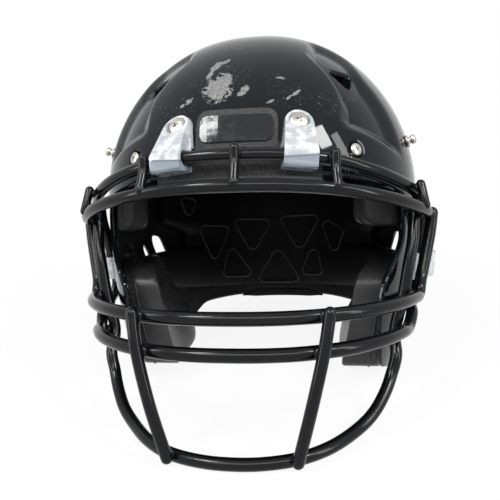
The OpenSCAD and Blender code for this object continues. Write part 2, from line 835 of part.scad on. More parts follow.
// Bumpers: a rubber channel over the rim, with an outer leg that follows the shell
function set_y(p, off) = p.y + off * (p.y < wide_y ? -1 : 1) / abs(outward(p).y);
function rim_ring(x, top, reach, at, rim) =
    let (
        p = at(x),
        foot = rim(p.y),
        slope = rim(p.y + 1) - foot,
        y = function(z, off) set_y(at(x, z), off),
        under = function(v) foot + slope * (v - p.y) - seat_gap,
        skin_y = y(foot, seat_gap),
        out_y = y(foot, seat_gap + bumper_t),
        leg = -wall - 5 * seat_gap,
        low = under(out_y) - bumper_t,
        up = [for (k = [0:5]) low + (top - low) * k / 5],
        down = [for (k = [0:4]) top + (under(skin_y) - top) * k / 4]
    )
    concat(
        [for (z = up) [x, y(z, seat_gap + bumper_t), z]],
        [for (z = down) [x, y(z, seat_gap), z]],
        [
            [x, y(foot, leg), under(y(foot, leg))],
            [x, y(foot + reach, leg), foot + reach],
            [x, y(foot + reach, leg - 1.8), foot + reach],
            [x, y(foot, leg - 1.8), under(y(foot, leg - 1.8)) - bumper_t]
        ]
    );
lip_top = 58;
plate_top = 84.5;
function bumper_top(x) =
    let (a = abs(x), c = bumper_half - 7)
    a > bumper_half + 0.8 ? lip_top - 4 * ease((a - lip_half + 8) / 8)
        : a > bumper_half ? lip_top + 1
        : plate_top - (a > c ? 7 - sqrt(max(0, 49 - sq(a - c))) : 0);
module front_bumper() {
    edge = [lip_half, lip_half - 4, lip_half - 9, (lip_half + bumper_half) / 2 + 3, bumper_half + 4];
    near = [bumper_half + 1, bumper_half, bumper_half - 0.6, bumper_half - 2, bumper_half - 4.5];
    half = concat(edge, near, [bumper_half - 8, bumper_half / 2, bumper_half / 4]);
    xs = concat([for (x = half) -x], [0], backwards(half));
    color("#17181a")
        loft(
            [
                for (x = xs)
                    rim_ring(
                        x,
                        bumper_top(x),
                        5,
                        function(x, z = brow_edge_z) front_at(x, z),
                        function(y) brow_rim_z(y)
                    )
            ],
            false
        );
}
module bumper_plate() {
    w = bumper_half - 2.4;
    low = lip_top + 6;
    high = plate_top - 4;
    cut = 4;
    xs = [-1, -0.93, -0.8, -0.5, 0, 0.5, 0.8, 0.93, 1] * w;
    color("#0c0d0e")
        loft(
            [
                for (x = xs)
                    let (
                        e = abs(x) > w - cut ? cut - sqrt(max(0, sq(cut) - sq(abs(x) - w + cut))) : 0,
                        up = [for (k = [0:4]) low + e + (high - low - 2 * e + 0.02) * k / 4]
                    )
                    concat(
                        [for (z = up) [x, set_y(front_at(x, z), seat_gap + bumper_t + 1.1), z]],
                        [for (z = backwards(up)) [x, set_y(front_at(x, z), seat_gap + bumper_t + 0.2), z]]
                    )
            ],
            false
        );
}
module neck_bumper() {
    xs = [for (k = [-8:8]) neck_half * k / 8];
    color("#17181a")
        loft(
            [
                for (x = backwards(xs))
                    rim_ring(
                        x,
                        nape_z + 14,
                        6,
                        function(x, z = nape_z) [x, nape_y(x, z), z],
                        function(y) rim_z(y)
                    )
            ],
            false
        );
}

// Pads: a crowned front, a drawn-in side and a back that lies along the shell
function squircle(a, n = 4) = [cos(a), sin(a)] / pow(pow(abs(cos(a)), n) + pow(abs(sin(a)), n), 1 / n);
module cushion(place, segs = 24, drop = 0.32) {
    front = [for (r = [0.3, 0.55, 0.78, 0.92, 1]) [r, 1 - drop * pow(r, 5)]];
    side = [[0.972, 0.36], [0.985, 0.12]];
    back = [[0.96, 0], [0.7, 0], [0.35, 0]];
    loft(
        [
            for (q = concat(front, side, back))
                [for (i = [0:segs - 1]) place(q[0] * squircle(360 * i / segs), q[1])]
        ],
        caps = [place([0, 0], 1), place([0, 0], 0)]
    );
}
module dome_pad(az, el, d_az, d_el, t) {
    cushion(function(q, f) skin(az - q.x * d_az, el + q.y * d_el, wall + pad_gap + t * f));
}
module crown_pad() {
    color("#151515")
        cushion(function(q, f)
            let (
                r = norm(q),
                a = atan2(q.x, -q.y)
            )
            skin(a, 33 * r, wall + pad_gap + crown_pad_t * f));
}
module nut_recess(p) {
    seat(p)
        translate([0, 0, -wall - nut_deep - 2.2])
            cylinder(r = nut_r + 5, h = 20, $fn = 24);
}
module front_pad() {
    color("#1b1b1c")
        difference() {
            dome_pad(0, 74.5, 29, 9, front_pad_t);
            both_sides()
                nut_recess(clip_screw_p);
        }
}
function lining(az, z, depth) =
    let (
        d = aim(az, 90),
        k = pow(level(z) / plan_sum(d + [0, wide_y, 0]), 1 / plan_n),
        p = [k * d.x, wide_y + k * d.y, z]
    )
    p - outward(p) * depth;
module back_liner() {
    color("#121212")
        cushion(
            function(q, f)
                let (
                    z = 16 - q.y * 53,
                    span = 47 + 17 * ease((z - 14) / 14) + 34 * ease((3 - z) / 8)
                )
                lining(180 - q.x * span, z, wall + pad_gap + back_pad_t * f),
            48
        );
}
module side_pad() {
    color("#1b1b1c")
        dome_pad(56, 96, 18, 11, side_pad_t);
}
module side_pad_left() {
    side_pad();
}
module side_pad_right() {
    mirror([1, 0, 0])
        side_pad();
}
jaw_c = [run_y(-42), -43];
snap_places = [[-15, -16], [14, 16]];
module jaw_pad() {
    color("#202021")
        difference() {
            cushion(
                function(q, f)
                    let (
                        turn = 14,
                        a = q.x * cos(turn) - q.y * sin(turn),
                        b = q.x * sin(turn) + q.y * cos(turn),
                        y = jaw_c.x - a * 31,
                        z = jaw_c.y - b * 36,
                        t = jaw_pad_t + jaw_swell * ease((1 - a) / 2) * ease((1 + b) / 1.4)
                    )
                    [inner_x(y, z, wall + pad_gap) - t * f, y, z],
                drop = 0.16
            );
            nut_recess(side_screw_p);
            for (q = snap_places)
                snap_seat(q)
                    translate([0, 0, -7.5])
                        cylinder(r = 6.5, h = 12, $fn = 24);
        }
}
module snap_seat(q) {
    p = side_at(jaw_c.x + q.x, jaw_c.y + q.y);
    seat(p)
        translate([0, 0, -wall])
            children();
}
module jaw_pad_left() {
    jaw_pad();
}
module jaw_pad_right() {
    mirror([1, 0, 0])
        jaw_pad();
}
module jaw_pad_snaps() {
    color("#8f8d88")
        both_sides()
            for (q = snap_places)
                snap_seat(q) {
                    translate([0, 0, -1.7])
                        cylinder(r = 4.5, h = 1.2, $fn = 24);
                    translate([0, 0, -5])
                        cylinder(r = 2.6, h = 4, $fn = 24);
                }
}

stand() shell();
stand() front_bumper();
stand() bumper_plate();
stand() neck_bumper();
stand() guard_brow_hoop();
stand() guard_brow_lower();
stand() guard_mouth_upper();
stand() guard_mouth_lower();
stand() guard_chin_wire();
stand() guard_upright_left();
stand() guard_upright_right();
stand() guard_brow_ties();
stand() front_clip_left();
stand() front_clip_right();
stand() side_clip_left();
stand() side_clip_right();
stand() front_clip_screws();
stand() side_clip_screws();
stand() clip_t_nuts();
stand() temple_screws();
stand() chin_strap_studs();
stand() stud_washers();
stand() crown_pad();
stand() front_pad();
stand() back_liner();
stand() side_pad_left();
stand() side_pad_right();
stand() jaw_pad_left();
stand() jaw_pad_right();
stand() jaw_pad_snaps();
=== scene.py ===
"""American football helmet with a welded wire face guard, standing on its chin wire and rear corners."""

from contextlib import contextmanager
from math import cos, pi, radians, sin

import bmesh
import bpy
import numpy as np
from mathutils import Matrix, Vector


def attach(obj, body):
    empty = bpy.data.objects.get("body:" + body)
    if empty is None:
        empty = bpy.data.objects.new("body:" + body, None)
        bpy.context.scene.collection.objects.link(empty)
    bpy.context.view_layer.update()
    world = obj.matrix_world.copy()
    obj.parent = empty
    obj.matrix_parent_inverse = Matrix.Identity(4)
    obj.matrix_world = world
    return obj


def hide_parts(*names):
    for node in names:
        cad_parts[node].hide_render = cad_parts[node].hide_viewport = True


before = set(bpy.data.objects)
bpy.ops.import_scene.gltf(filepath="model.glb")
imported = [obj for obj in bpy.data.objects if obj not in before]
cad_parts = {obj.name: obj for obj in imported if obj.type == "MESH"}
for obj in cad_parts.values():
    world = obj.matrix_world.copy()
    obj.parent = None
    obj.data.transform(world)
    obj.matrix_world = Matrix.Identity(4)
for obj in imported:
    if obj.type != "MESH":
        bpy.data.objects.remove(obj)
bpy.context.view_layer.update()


# ---- Shell
# One injection moulding of gloss black plastic, 4 mm thick, with a raised centre ridge between two
# recessed front panels. It is laid out here as worn, in millimetres, with zero at eye level, and every
# finished piece is then stood on the table through STAND, which also turns it into metres.
LEAN = radians(13.4737)
STAND = (Matrix.Translation((0, 0.0259418, 0.0787324)) @ Matrix.Rotation(-LEAN, 4, "X")
         @ Matrix.Scale(0.001, 4))
WALL = 4.0
HALF_W = 114.5
FRONT_L, REAR_L = 121.0, 150.0
CROWN_H, SKIRT_H = 121.0, 230.0
PLAN_N = 2.3
WIDE_Y, WIDE_Z = -17.0, 40.0
FRONT_Y = WIDE_Y - FRONT_L
CENTRE = np.array((0.0, WIDE_Y, WIDE_Z))
PANEL_RECESS, PANEL_L = 4.0, 60
RIDGE_HALF, RIDGE_FLARE = 38, 22
BAND_Z, BAND_SLOPE = 56, 0.42
CREASE_W = 8


def ease(v):
    t = np.clip(v, 0, 1)
    return t * t * (3 - 2 * t)


def reach_y(p):
    return np.where(p[..., 1] < WIDE_Y, FRONT_L, REAR_L)


def reach_z(p):
    return np.where(p[..., 2] > WIDE_Z, CROWN_H, SKIRT_H)


def plan_sum(p):
    across = np.abs(p[..., 0]) / HALF_W
    along = np.abs(p[..., 1] - WIDE_Y) / reach_y(p)
    return np.maximum(across ** PLAN_N + along ** PLAN_N, 1e-9)


def field(p):
    """1 on the dome, less inside it and more outside."""
    return np.sqrt(plan_sum(p) ** (2 / PLAN_N) + ((p[..., 2] - WIDE_Z) / reach_z(p)) ** 2)


def outward(p):
    """The dome's outward direction at p."""
    k = plan_sum(p) ** (2 / PLAN_N - 1)
    x, y = p[..., 0], p[..., 1] - WIDE_Y
    b, c = reach_y(p), reach_z(p)
    n = np.stack([
        k * (np.abs(x) / HALF_W) ** (PLAN_N - 1) * np.sign(x) / HALF_W,
        k * (np.abs(y) / b) ** (PLAN_N - 1) * np.sign(y) / b,
        (p[..., 2] - WIDE_Z) / c ** 2,
    ], -1)
    return n / np.linalg.norm(n, axis=-1, keepdims=True)


def ramp(v, corner=0.1):
    """A straight rise from 0 to 1 with only its two corners rounded, so that its creases stay crisp."""
    def knee(t):
        return np.where(t < -corner, 0, np.where(t > corner, t, (t + corner) ** 2 / (4 * corner)))
    return knee(v) - knee(v - 1)


def panel(p):
    """0 off the recessed front panels and 1 on their floors."""
    x, y, z = np.abs(p[..., 0]), p[..., 1], p[..., 2]
    ahead = FRONT_Y + PANEL_L - y
    ridge_edge = RIDGE_HALF + RIDGE_FLARE * ease((ahead - 12) / 22)
    band_edge = BAND_Z + BAND_SLOPE * np.maximum(0, ahead)
    swept = 18 * ease((78 - x) / 14)
    sides = ramp((x - ridge_edge) / CREASE_W) * ramp((z - band_edge) / CREASE_W)
    return sides * ease((ahead + swept) / 14)


def on_form(d, depth):
    """Points of the shell in the directions d from its centre, at a depth below its surface."""
    p = CENTRE + d / field(CENTRE + d)[..., None]
    return p - outward(p) * (PANEL_RECESS * panel(p) + depth)[..., None]


def level_at(z):
    """What the height z leaves of the plan's power sum."""
    return (1 - ((z - WIDE_Z) / np.where(z > WIDE_Z, CROWN_H, SKIRT_H)) ** 2) ** (PLAN_N / 2)


def front_at(x, z):
    """The point of the dome's front at x and z."""
    return np.array((x, WIDE_Y - FRONT_L * (level_at(z) - (abs(x) / HALF_W) ** PLAN_N) ** (1 / PLAN_N), z))


def side_at(y, z):
    """Points of the dome's left side at y and z."""
    along = np.abs(y - WIDE_Y) / reach_y(np.stack([0.0 * y, y, z], -1))
    return np.stack([HALF_W * np.maximum(level_at(z) - along ** PLAN_N, 0) ** (1 / PLAN_N), y, z], -1)


def on_dome(x, y):
    """The point of the dome's top over x and y."""
    p = np.array((x, y, WIDE_Z))
    return np.array((x, y, WIDE_Z + CROWN_H * (1 - plan_sum(p) ** (2 / PLAN_N)) ** 0.5))


def seat(p):
    """Axes of a seat on the shell at p: level, up the surface and out of it."""
    n = outward(p)
    a = np.cross((0, 0, 1), n)
    a /= np.linalg.norm(a)
    origin = p - n * PANEL_RECESS * panel(p)
    return origin, a, np.cross(n, a), n


def rounded(corners, steps=10):
    """A closed loop through corners of (y, z, radius), each corner rounded in that many steps."""
    out = []
    for i, (y, z, r) in enumerate(corners):
        v = np.array((y, z))
        if r == 0:
            out.append(v)
            continue
        s, t = (np.array(corners[j % len(corners)][:2]) - v for j in (i - 1, i + 1))
        s, t = s / np.linalg.norm(s), t / np.linalg.norm(t)
        half = np.arccos(s @ t) / 2
        c = v + (s + t) / np.linalg.norm(s + t) * r / np.sin(half)
        start, end = v + s * r / np.tan(half) - c, v + t * r / np.tan(half) - c
        for k in range(steps + 1):
            d = start * (steps - k) + end * k
            out.append(c + r * d / np.linalg.norm(d))
    return np.array(out)


def depth_inside(q, loop):
    """How far each point of q lies inside a closed loop, below zero outside it."""
    a, b = loop, np.roll(loop, -1, 0)
    ab = b - a
    best = np.full(len(q), 1e9)
    inside = np.zeros(len(q), bool)
    for p0, p1, d in zip(a, b, ab):
        t = np.clip(((q - p0) @ d) / (d @ d), 0, 1)
        best = np.minimum(best, np.linalg.norm(q - p0 - t[:, None] * d, axis=1))
        if p0[1] != p1[1]:
            crosses = (p0[1] > q[:, 1]) != (p1[1] > q[:, 1])
            inside ^= crosses & (q[:, 0] < d[0] * (q[:, 1] - p0[1]) / d[1] + p0[0])
    return np.where(inside, best, -best)


def trim(piece, kept):
    """Cuts a sheet along the line where kept is zero and removes the part where it is below zero."""
    bm = bmesh.new()
    bm.from_mesh(piece.data)
    value = dict(zip(bm.verts, kept(np.array([v.co for v in bm.verts]))))
    for e in bm.edges:
        a, b = e.verts
        if value[a] * value[b] < 0:
            t = value[a] / (value[a] - value[b])
            if t < 0.3 or t > 0.7:
                v = a if t < 0.3 else b
                v.co = a.co.lerp(b.co, t)
                value[v] = 0
    for e in list(bm.edges):
        a, b = e.verts
        if value[a] * value[b] < 0:
            _, v = bmesh.utils.edge_split(e, a, value[a] / (value[a] - value[b]))
            value[v] = 0
    bmesh.ops.connect_verts(bm, verts=[v for v in bm.verts if value[v] == 0])
    gone = [f for f in bm.faces if sum(value[v] for v in f.verts) < 0]
    bmesh.ops.delete(bm, geom=gone, context="FACES")
    bm.to_mesh(piece.data)
    bm.free()


def only(piece):
    bpy.ops.object.select_all(action="DESELECT")
    piece.select_set(True)
    bpy.context.view_layer.objects.active = piece


def new_object(name, data):
    made = bpy.data.objects.new(name, data)
    bpy.context.scene.collection.objects.link(made)
    return made


@contextmanager
def editing(chosen="SELECT"):
    """Edit mode for the active object, with all of it selected, none of it (DESELECT) or as it was (None)."""
    bpy.ops.object.mode_set(mode="EDIT")
    if chosen:
        bpy.ops.mesh.select_all(action=chosen)
    yield
    bpy.ops.object.mode_set(mode="OBJECT")


def apply_modifiers(piece):
    only(piece)
    for m in list(piece.modifiers):
        bpy.ops.object.modifier_apply(modifier=m.name)


def join(pieces):
    only(pieces[0])
    for p in pieces:
        p.select_set(True)
    bpy.ops.object.join()
    return bpy.context.object


def to_table(piece, smooth=35):
    """Stands a piece on the table and shades it smooth up to an angle in degrees."""
    piece.data.transform(STAND)
    only(piece)
    bpy.ops.object.shade_smooth_by_angle(angle=radians(smooth))
    return piece


def rolled_edge(sheet, radius):
    """A round bead along every open edge of a sheet, so that a wall set on the sheet ends full round."""
    only(sheet)
    with editing("DESELECT"):
        bpy.ops.mesh.select_mode(type="EDGE")
        bpy.ops.mesh.select_non_manifold(extend=False, use_wire=False, use_boundary=True,
                                         use_multi_face=False, use_non_contiguous=False, use_verts=False)
        bpy.ops.mesh.duplicate()
        bpy.ops.mesh.separate(type="SELECTED")
    bead = [o for o in bpy.context.selected_objects if o != sheet][0]
    only(bead)
    with editing():
        bpy.ops.mesh.remove_doubles(threshold=0.7)
        bpy.ops.mesh.vertices_smooth(factor=0.5, repeat=2)
    bpy.ops.object.convert(target="CURVE")
    bead.data.bevel_depth = radius
    bead.data.bevel_resolution = 3
    bpy.ops.object.convert(target="MESH")
    return bead


bpy.ops.object.select_all(action="DESELECT")
bpy.ops.mesh.primitive_uv_sphere_add(segments=176, ring_count=88, radius=1)
shell = bpy.context.object
shell.name = "shell_moulding"
with editing():
    bpy.ops.mesh.bisect(plane_co=(0, 0, -0.8), plane_no=(0, 0, 1), clear_inner=True)


def refine(sheet, chosen):
    """Divides the faces of a sheet of directions whose centres are chosen."""
    centres = np.array([f.center for f in sheet.data.polygons])
    sheet.data.polygons.foreach_set("select", chosen(centres))
    with editing(None):
        bpy.ops.mesh.select_mode(type="FACE")
        bpy.ops.mesh.subdivide(number_cuts=1)


def on_crease(d):
    rise = panel(on_form(d, 0.0))
    return (rise > 0.0005) & (rise < 0.9995) & (d[:, 1] < -0.2)


refine(shell, lambda d: (d[:, 1] < -0.3) & (d[:, 2] > -0.12))
refine(shell, on_crease)
directions = np.array([v.co for v in shell.data.vertices])
shell.data.vertices.foreach_set("co", on_form(directions, WALL / 2).ravel())

# The shell's outline from the side, by its edges' places, and how far past them the outline is closed
BROW_EDGE_Z, JAW_Z, CORNER_Z, NAPE_Z = 46.0, -84.0, -61.0, -46.0
TEMPLE_BACK, CHEEK_BACK = 59.0, 41.0
STEP_Y, STEP_Z = 84.0, -51.0
REAR_Y, REAR_Z = WIDE_Y + REAR_L + 7, NAPE_Z + 7
FAR_FRONT, FAR_BACK, FAR_UP = FRONT_Y - 60, WIDE_Y + REAR_L + 60, 201
side_outline = rounded([
    (FAR_FRONT, BROW_EDGE_Z + 12, 0),
    (FRONT_Y + TEMPLE_BACK - 5, BROW_EDGE_Z - 11, 16),
    (FRONT_Y + TEMPLE_BACK, 8, 20),
    (FRONT_Y + CHEEK_BACK, -24, 22),
    (FRONT_Y + CHEEK_BACK + 4, -48, 30),
    (FRONT_Y + CHEEK_BACK + 20, JAW_Z + 4, 14),
    (FRONT_Y + CHEEK_BACK + 53, JAW_Z, 18),
    (WIDE_Y + 17, CORNER_Z - 2, 40),
    (STEP_Y - 6, CORNER_Z, 9),
    (STEP_Y, STEP_Z, 11),
    (REAR_Y, REAR_Z, 0),
    (FAR_BACK, REAR_Z, 0),
    (FAR_BACK, FAR_UP, 0),
    (FAR_FRONT, FAR_UP, 0),
])
trim(shell, lambda p: depth_inside(p[:, 1:], side_outline) - WALL / 2)
WINDOW_R, VENT_R, SLOT_R, RECESS_R = 3.5, 2.5, 3.5, 6.4
rear_window = np.array([(46.4, -12.5), (54.5, -12.5), (42.5, 10.5), (30.5, 10.5)])
front_window = np.array([(21.5, -8.3), (23.4, -8.3), (13.4, 3.6), (11.5, 3.6)])
for window in (rear_window, front_window):
    trim(shell, lambda p: -depth_inside(p[:, 1:], window) - WINDOW_R - WALL / 2)


def hole(place, core, radius, reach=14):
    """Cuts a hole on both sides of the shell at a place: the loop core, grown by radius."""
    for side in (1, -1):
        origin, a, b, n = seat(place * (side, 1, 1))
        core_side = core * (side, 1)

        def kept(p):
            d = p - origin
            q = np.stack([d @ a, d @ b], -1)
            return np.where(np.abs(d @ n) < reach, -depth_inside(q, core_side) - radius, 50)
        trim(shell, kept)


def three_corners(radius, turn):
    angles = [radians(a + turn) for a in (90, 210, 330)]
    return np.array([(radius * cos(a), radius * sin(a)) for a in angles])


hole(on_dome(65, FRONT_Y + 48), three_corners(7, 55), VENT_R + WALL / 2)
hole(on_dome(60, WIDE_Y + 82), three_corners(7, 20), VENT_R + WALL / 2)
crown_slot = np.array([(-0.1, -9.5), (0.1, -9.5), (0.1, 9.5), (-0.1, 9.5)])
hole(on_dome(24, WIDE_Y + 62), crown_slot, SLOT_R + WALL / 2)
temple_p = front_at(70, 60)
ring = np.array([(0.2 * cos(a), 0.2 * sin(a)) for a in np.arange(8) * pi / 4])
hole(temple_p, ring, RECESS_R)
shell_bead = rolled_edge(shell, WALL / 2 + 0.02)


class Nodes:
    """Makers of the nodes of one tree. Each input is another node's output or plain numbers."""

    def __init__(self, tree):
        self.tree = tree

    def feed(self, socket, value):
        if isinstance(value, bpy.types.NodeSocket):
            self.tree.links.new(value, socket)
        else:
            socket.default_value = (*value, 1) if socket.type == "RGBA" else value

    def add(self, kind, inputs, **settings):
        node = self.tree.nodes.new("ShaderNode" + kind)
        for key, value in settings.items():
            setattr(node, key, value)
        for key, value in inputs.items():
            self.feed(node.inputs[key], value)
        return node.outputs

    def steps(self, value, low, high, to_low=0.0, to_high=1.0):
        """A smooth change from to_low to to_high while value goes from low to high."""
        limits = {"From Min": low, "From Max": high, "To Min": to_low, "To Max": to_high}
        return self.add("MapRange", {"Value": value, **limits}, interpolation_type="SMOOTHSTEP")["Result"]

    def maths(self, kind, *values):
        return self.add("Math", dict(enumerate(values)), operation=kind)[0]

    def most(self, top, *others):
        for other in others:
            top = self.maths("MAXIMUM", top, other)
        return top

    def mix(self, factor, first, second):
        return self.add("Mix", {0: factor, 6: first, 7: second}, data_type="RGBA")[2]


class Finish(Nodes):
    """A new material, whose patterns lie in the object's own coordinates."""

    def __init__(self, name):
        self.made = bpy.data.materials.new(name)
        self.made.use_nodes = True
        super().__init__(self.made.node_tree)
        self.shader = self.tree.nodes["Principled BSDF"]
        self.coords = self.add("TexCoord", {})["Object"]

    def noise(self, scale, detail, rough, distortion=0.0, at=None):
        where = self.coords if at is None else at
        return self.add("TexNoise", {"Vector": where, "Scale": scale, "Detail": detail,
                                     "Roughness": rough, "Distortion": distortion})["Fac"]

    def done(self, inputs, relief, strength, distance):
        """The material, with its shader's inputs fed and its relief added as a bump."""
        bump = {"Height": relief, "Strength": strength, "Distance": distance}
        inputs["Normal"] = self.add("Bump", bump)["Normal"]
        for key, value in inputs.items():
            self.feed(self.shader.inputs[key], value)
        return self.made


def gloss_shell():
    """Gloss plastic with torn patches of worn coating, specks, hair scratches and a slight haze."""
    f = Finish("gloss_shell_plastic")
    ragged = f.steps(f.noise(210, 7, 0.72, 1.4), 0.3, 0.7, -0.34, 0.44)
    patches = []
    for place, size, turn in (
            ((-0.0140, -0.0690, 0.2042), (0.0086, 0.0130, 0.0084), 0),
            ((-0.0112, -0.0640, 0.2088), (0.0060, 0.0090, 0.0056), 10),
            ((-0.0208, -0.0580, 0.2130), (0.0018, 0.0070, 0.0036), 20),
            ((-0.0180, -0.0512, 0.2180), (0.0042, 0.0070, 0.0022), -45),
            ((-0.0126, -0.0475, 0.2212), (0.0046, 0.0060, 0.0011), -22),
            ((0.0022, -0.0714, 0.2022), (0.0020, 0.0070, 0.0046), 40),
            ((-0.0325, -0.0712, 0.1975), (0.0028, 0.0060, 0.0014), -40),
            ((-0.0365, -0.0723, 0.1950), (0.0018, 0.0060, 0.0010), -40),
            ((0.0344, -0.0693, 0.1993), (0.0026, 0.0060, 0.0010), -35),
            ((0.0300, -0.0720, 0.1968), (0.0018, 0.0060, 0.0008), -35),
            ((0.0196, -0.0757, 0.1954), (0.0026, 0.0060, 0.0008), -20),
            ((0.0245, -0.0625, 0.2090), (0.0028, 0.0070, 0.0006), 10)):
        laid = f.add("Mapping", {"Vector": f.coords, "Location": place, "Rotation": (0, radians(turn), 0),
                                 "Scale": size}, vector_type="TEXTURE")["Vector"]
        far = f.add("VectorMath", {0: laid}, operation="LENGTH")["Value"]
        patches.append(f.steps(f.maths("ADD", far, ragged), 1.0, 1.06, 1.0, 0.0))
    cloud = f.noise(28, 3, 0.5)
    rubbed = [f.steps(cloud, 0.5, 0.6)]
    for place, size in (((-0.035, -0.073, 0.196), 0.012), ((0.030, -0.071, 0.198), 0.016),
                        ((-0.010, -0.062, 0.211), 0.020)):
        far = f.add("VectorMath", {0: f.coords, 1: place}, operation="DISTANCE")["Value"]
        rubbed.append(f.steps(far, 0.3 * size, size, 1.0, 0.0))
    specks = f.maths("MULTIPLY", f.steps(f.noise(900, 4, 0.7), 0.61, 0.66), f.most(*rubbed))
    long_way = {"Vector": f.coords, "Rotation": (0.5, 0.3, 0.9), "Scale": (1, 9, 1)}
    streaks = f.noise(260, 3, 0.6, at=f.add("Mapping", long_way)["Vector"])
    hairs = f.maths("MULTIPLY", f.steps(streaks, 0.70, 0.74), rubbed[0])
    marks = f.most(*patches, f.maths("MULTIPLY", specks, 0.8), f.maths("MULTIPLY", hairs, 0.35))
    body = f.mix(cloud, (0.0024, 0.0037, 0.0056), (0.0042, 0.0060, 0.0088))
    grit = f.steps(f.noise(1300, 4, 0.7), 0.38, 0.62)
    bare = f.mix(grit, (0.060, 0.060, 0.064), (0.30, 0.295, 0.29))
    haze = f.steps(f.noise(60, 5, 0.6), 0.35, 0.75, 0.035, 0.10)
    relief = f.maths("ADD", f.maths("MULTIPLY", f.noise(45, 2, 0.4), 0.6), f.maths("MULTIPLY", marks, 0.25))
    return f.done({
        "Base Color": f.mix(marks, body, bare),
        "Roughness": f.most(haze, f.maths("MULTIPLY", marks, 0.75)),
        "Specular IOR Level": 0.22,
    }, relief, 0.2, 0.0006)


def shell_inside():
    f = Finish("shell_inside")
    return f.done({
        "Base Color": f.mix(f.noise(30, 4, 0.6), (0.0084, 0.0084, 0.0091), (0.012, 0.012, 0.013)),
        "Roughness": f.steps(f.noise(70, 4, 0.6), 0.3, 0.7, 0.4, 0.6),
    }, f.noise(1400, 2, 0.5), 0.2, 0.0003)


solid = shell.modifiers.new("wall", "SOLIDIFY")
solid.thickness = WALL
solid.offset = 0
solid.material_offset = 1
shell.data.materials.append(gloss_shell())
shell.data.materials.append(shell_inside())
shell_bead.data.materials.append(shell.data.materials[0])
apply_modifiers(shell)
shell = to_table(join([shell, shell_bead]))
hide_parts("shell")
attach(shell, "helmet")


# ---- Bumpers and plate
# Black rubber channels pushed over the shell's brow edge and nape, with a bare plate set in the front
# one between the clips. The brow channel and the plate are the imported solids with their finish, and the
# neck channel is drawn anew, because the rear rim that it grips steps up behind the jaw flaps.
def grained_rubber():
    f = Finish("grained_rubber")
    grain = f.noise(950, 4, 0.7)
    return f.done({
        "Base Color": f.mix(f.steps(grain, 0.42, 0.66), (0.007, 0.007, 0.008), (0.055, 0.055, 0.057)),
        "Roughness": f.steps(grain, 0.3, 0.7, 0.34, 0.6),
        "Specular IOR Level": 0.35,
    }, grain, 0.9, 0.0007)


def plate_plastic():
    f = Finish("plate_plastic")
    return f.done({
        "Base Color": f.mix(f.noise(50, 3, 0.5), (0.008, 0.009, 0.010), (0.014, 0.015, 0.017)),
        "Roughness": f.steps(f.noise(220, 4, 0.6), 0.3, 0.7, 0.06, 0.16),
        "Specular IOR Level": 0.3,
    }, f.noise(300, 2, 0.5), 0.15, 0.0003)


def dress(node, material):
    """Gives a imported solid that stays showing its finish."""
    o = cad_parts[node]
    o.data.materials.clear()
    o.data.materials.append(material)


rubber = grained_rubber()
dress("front_bumper", rubber)
dress("bumper_plate", plate_plastic())


CHANNEL_HALF, CHANNEL_GAP = 40, 0.3


def rear_rim(y):
    return STEP_Z + (REAR_Z - STEP_Z) * (y - STEP_Y) / (REAR_Y - STEP_Y)


def nape_point(x, z, off):
    """The y of a point that stands off from the dome's back at x and z."""
    y = WIDE_Y + REAR_L * (level_at(z) - (abs(x) / HALF_W) ** PLAN_N) ** (1 / PLAN_N)
    return y + off / outward(np.array((x, y, z)))[1]


def channel_section(x):
    """The neck channel's closed section at x, as [distance outside the shell, height over its rim]."""
    full = float(ease((1 - abs(x) / CHANNEL_HALF) / 0.4))
    skin, leg = 0.3 + 1.5 * full, 0.6 + 4.4 * full
    rim = float(rear_rim(nape_point(x, NAPE_Z, 0)))
    lip = max(1.0, (NAPE_Z + 14 - rim) * (0.25 + 0.75 * full))
    gap, r = CHANNEL_GAP, 0.3 * skin
    out, back, foot = gap + skin, -WALL - gap - 0.75 * skin, -gap - skin
    inside = -WALL - gap
    return rounded([(out, lip, r), (out, foot, 2 * r), (back, foot, 2 * r), (back, leg, r),
                    (inside, leg, 0.1), (inside, -gap, 0.05), (gap, -gap, 0.05), (gap, lip, 0.1)], 3)


# A flat grid is rolled into the channel's section and drawn out along the rim, thinning at both ends
bpy.ops.object.select_all(action="DESELECT")
bpy.ops.mesh.primitive_grid_add(x_subdivisions=56, y_subdivisions=32, size=2)
neck = bpy.context.object
neck.name = "neck_channel"
for v in neck.data.vertices:
    x = CHANNEL_HALF * v.co.x
    section = channel_section(x)
    k = (v.co.y + 1) / 2 * len(section)
    a, b = section[int(k) % len(section)], section[(int(k) + 1) % len(section)]
    off, rise = a + (b - a) * (k - int(k))
    z = rise + rear_rim(nape_point(x, NAPE_Z, off))
    v.co = (x, nape_point(x, z, off), z)
with editing():
    bpy.ops.mesh.remove_doubles(threshold=0.001)
    bpy.ops.mesh.fill_holes(sides=0)
    bpy.ops.mesh.normals_make_consistent(inside=False)
neck.data.materials.append(rubber)
to_table(neck, 40)
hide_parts("neck_bumper")
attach(neck, "helmet")


# ---- Face guard
# Steel wire, bent to shape and dipped in black coating, welded where the wires touch. Each wire is one
# drawn path with a round section, and each weld a small swelling between two wires.
GUARD_N = 2.2
BROW_D, MOUTH_D, POST_D, TIE_D = 7.6, 8.0, 7.0, 5.8
WELD_GAP = 0.15
UP = (0, 0, 1)
# Each bent wire's half width, front, depth, height in the middle and rise at its ends
UPPER = (HALF_W - 0.5, FRONT_Y - 12, 100, 54.5, -21)
LOWER = (HALF_W + 5, FRONT_Y - 20, 103, 35.8, -13.7)
MOUTH = (HALF_W - 4, FRONT_Y - 34, 109, -36.8, 6.8)
UNDER = (HALF_W - 11, FRONT_Y - 36, 101, -56, 6.8)
CHIN_Y, CHIN_Z = FRONT_Y - 27.5, -116.5


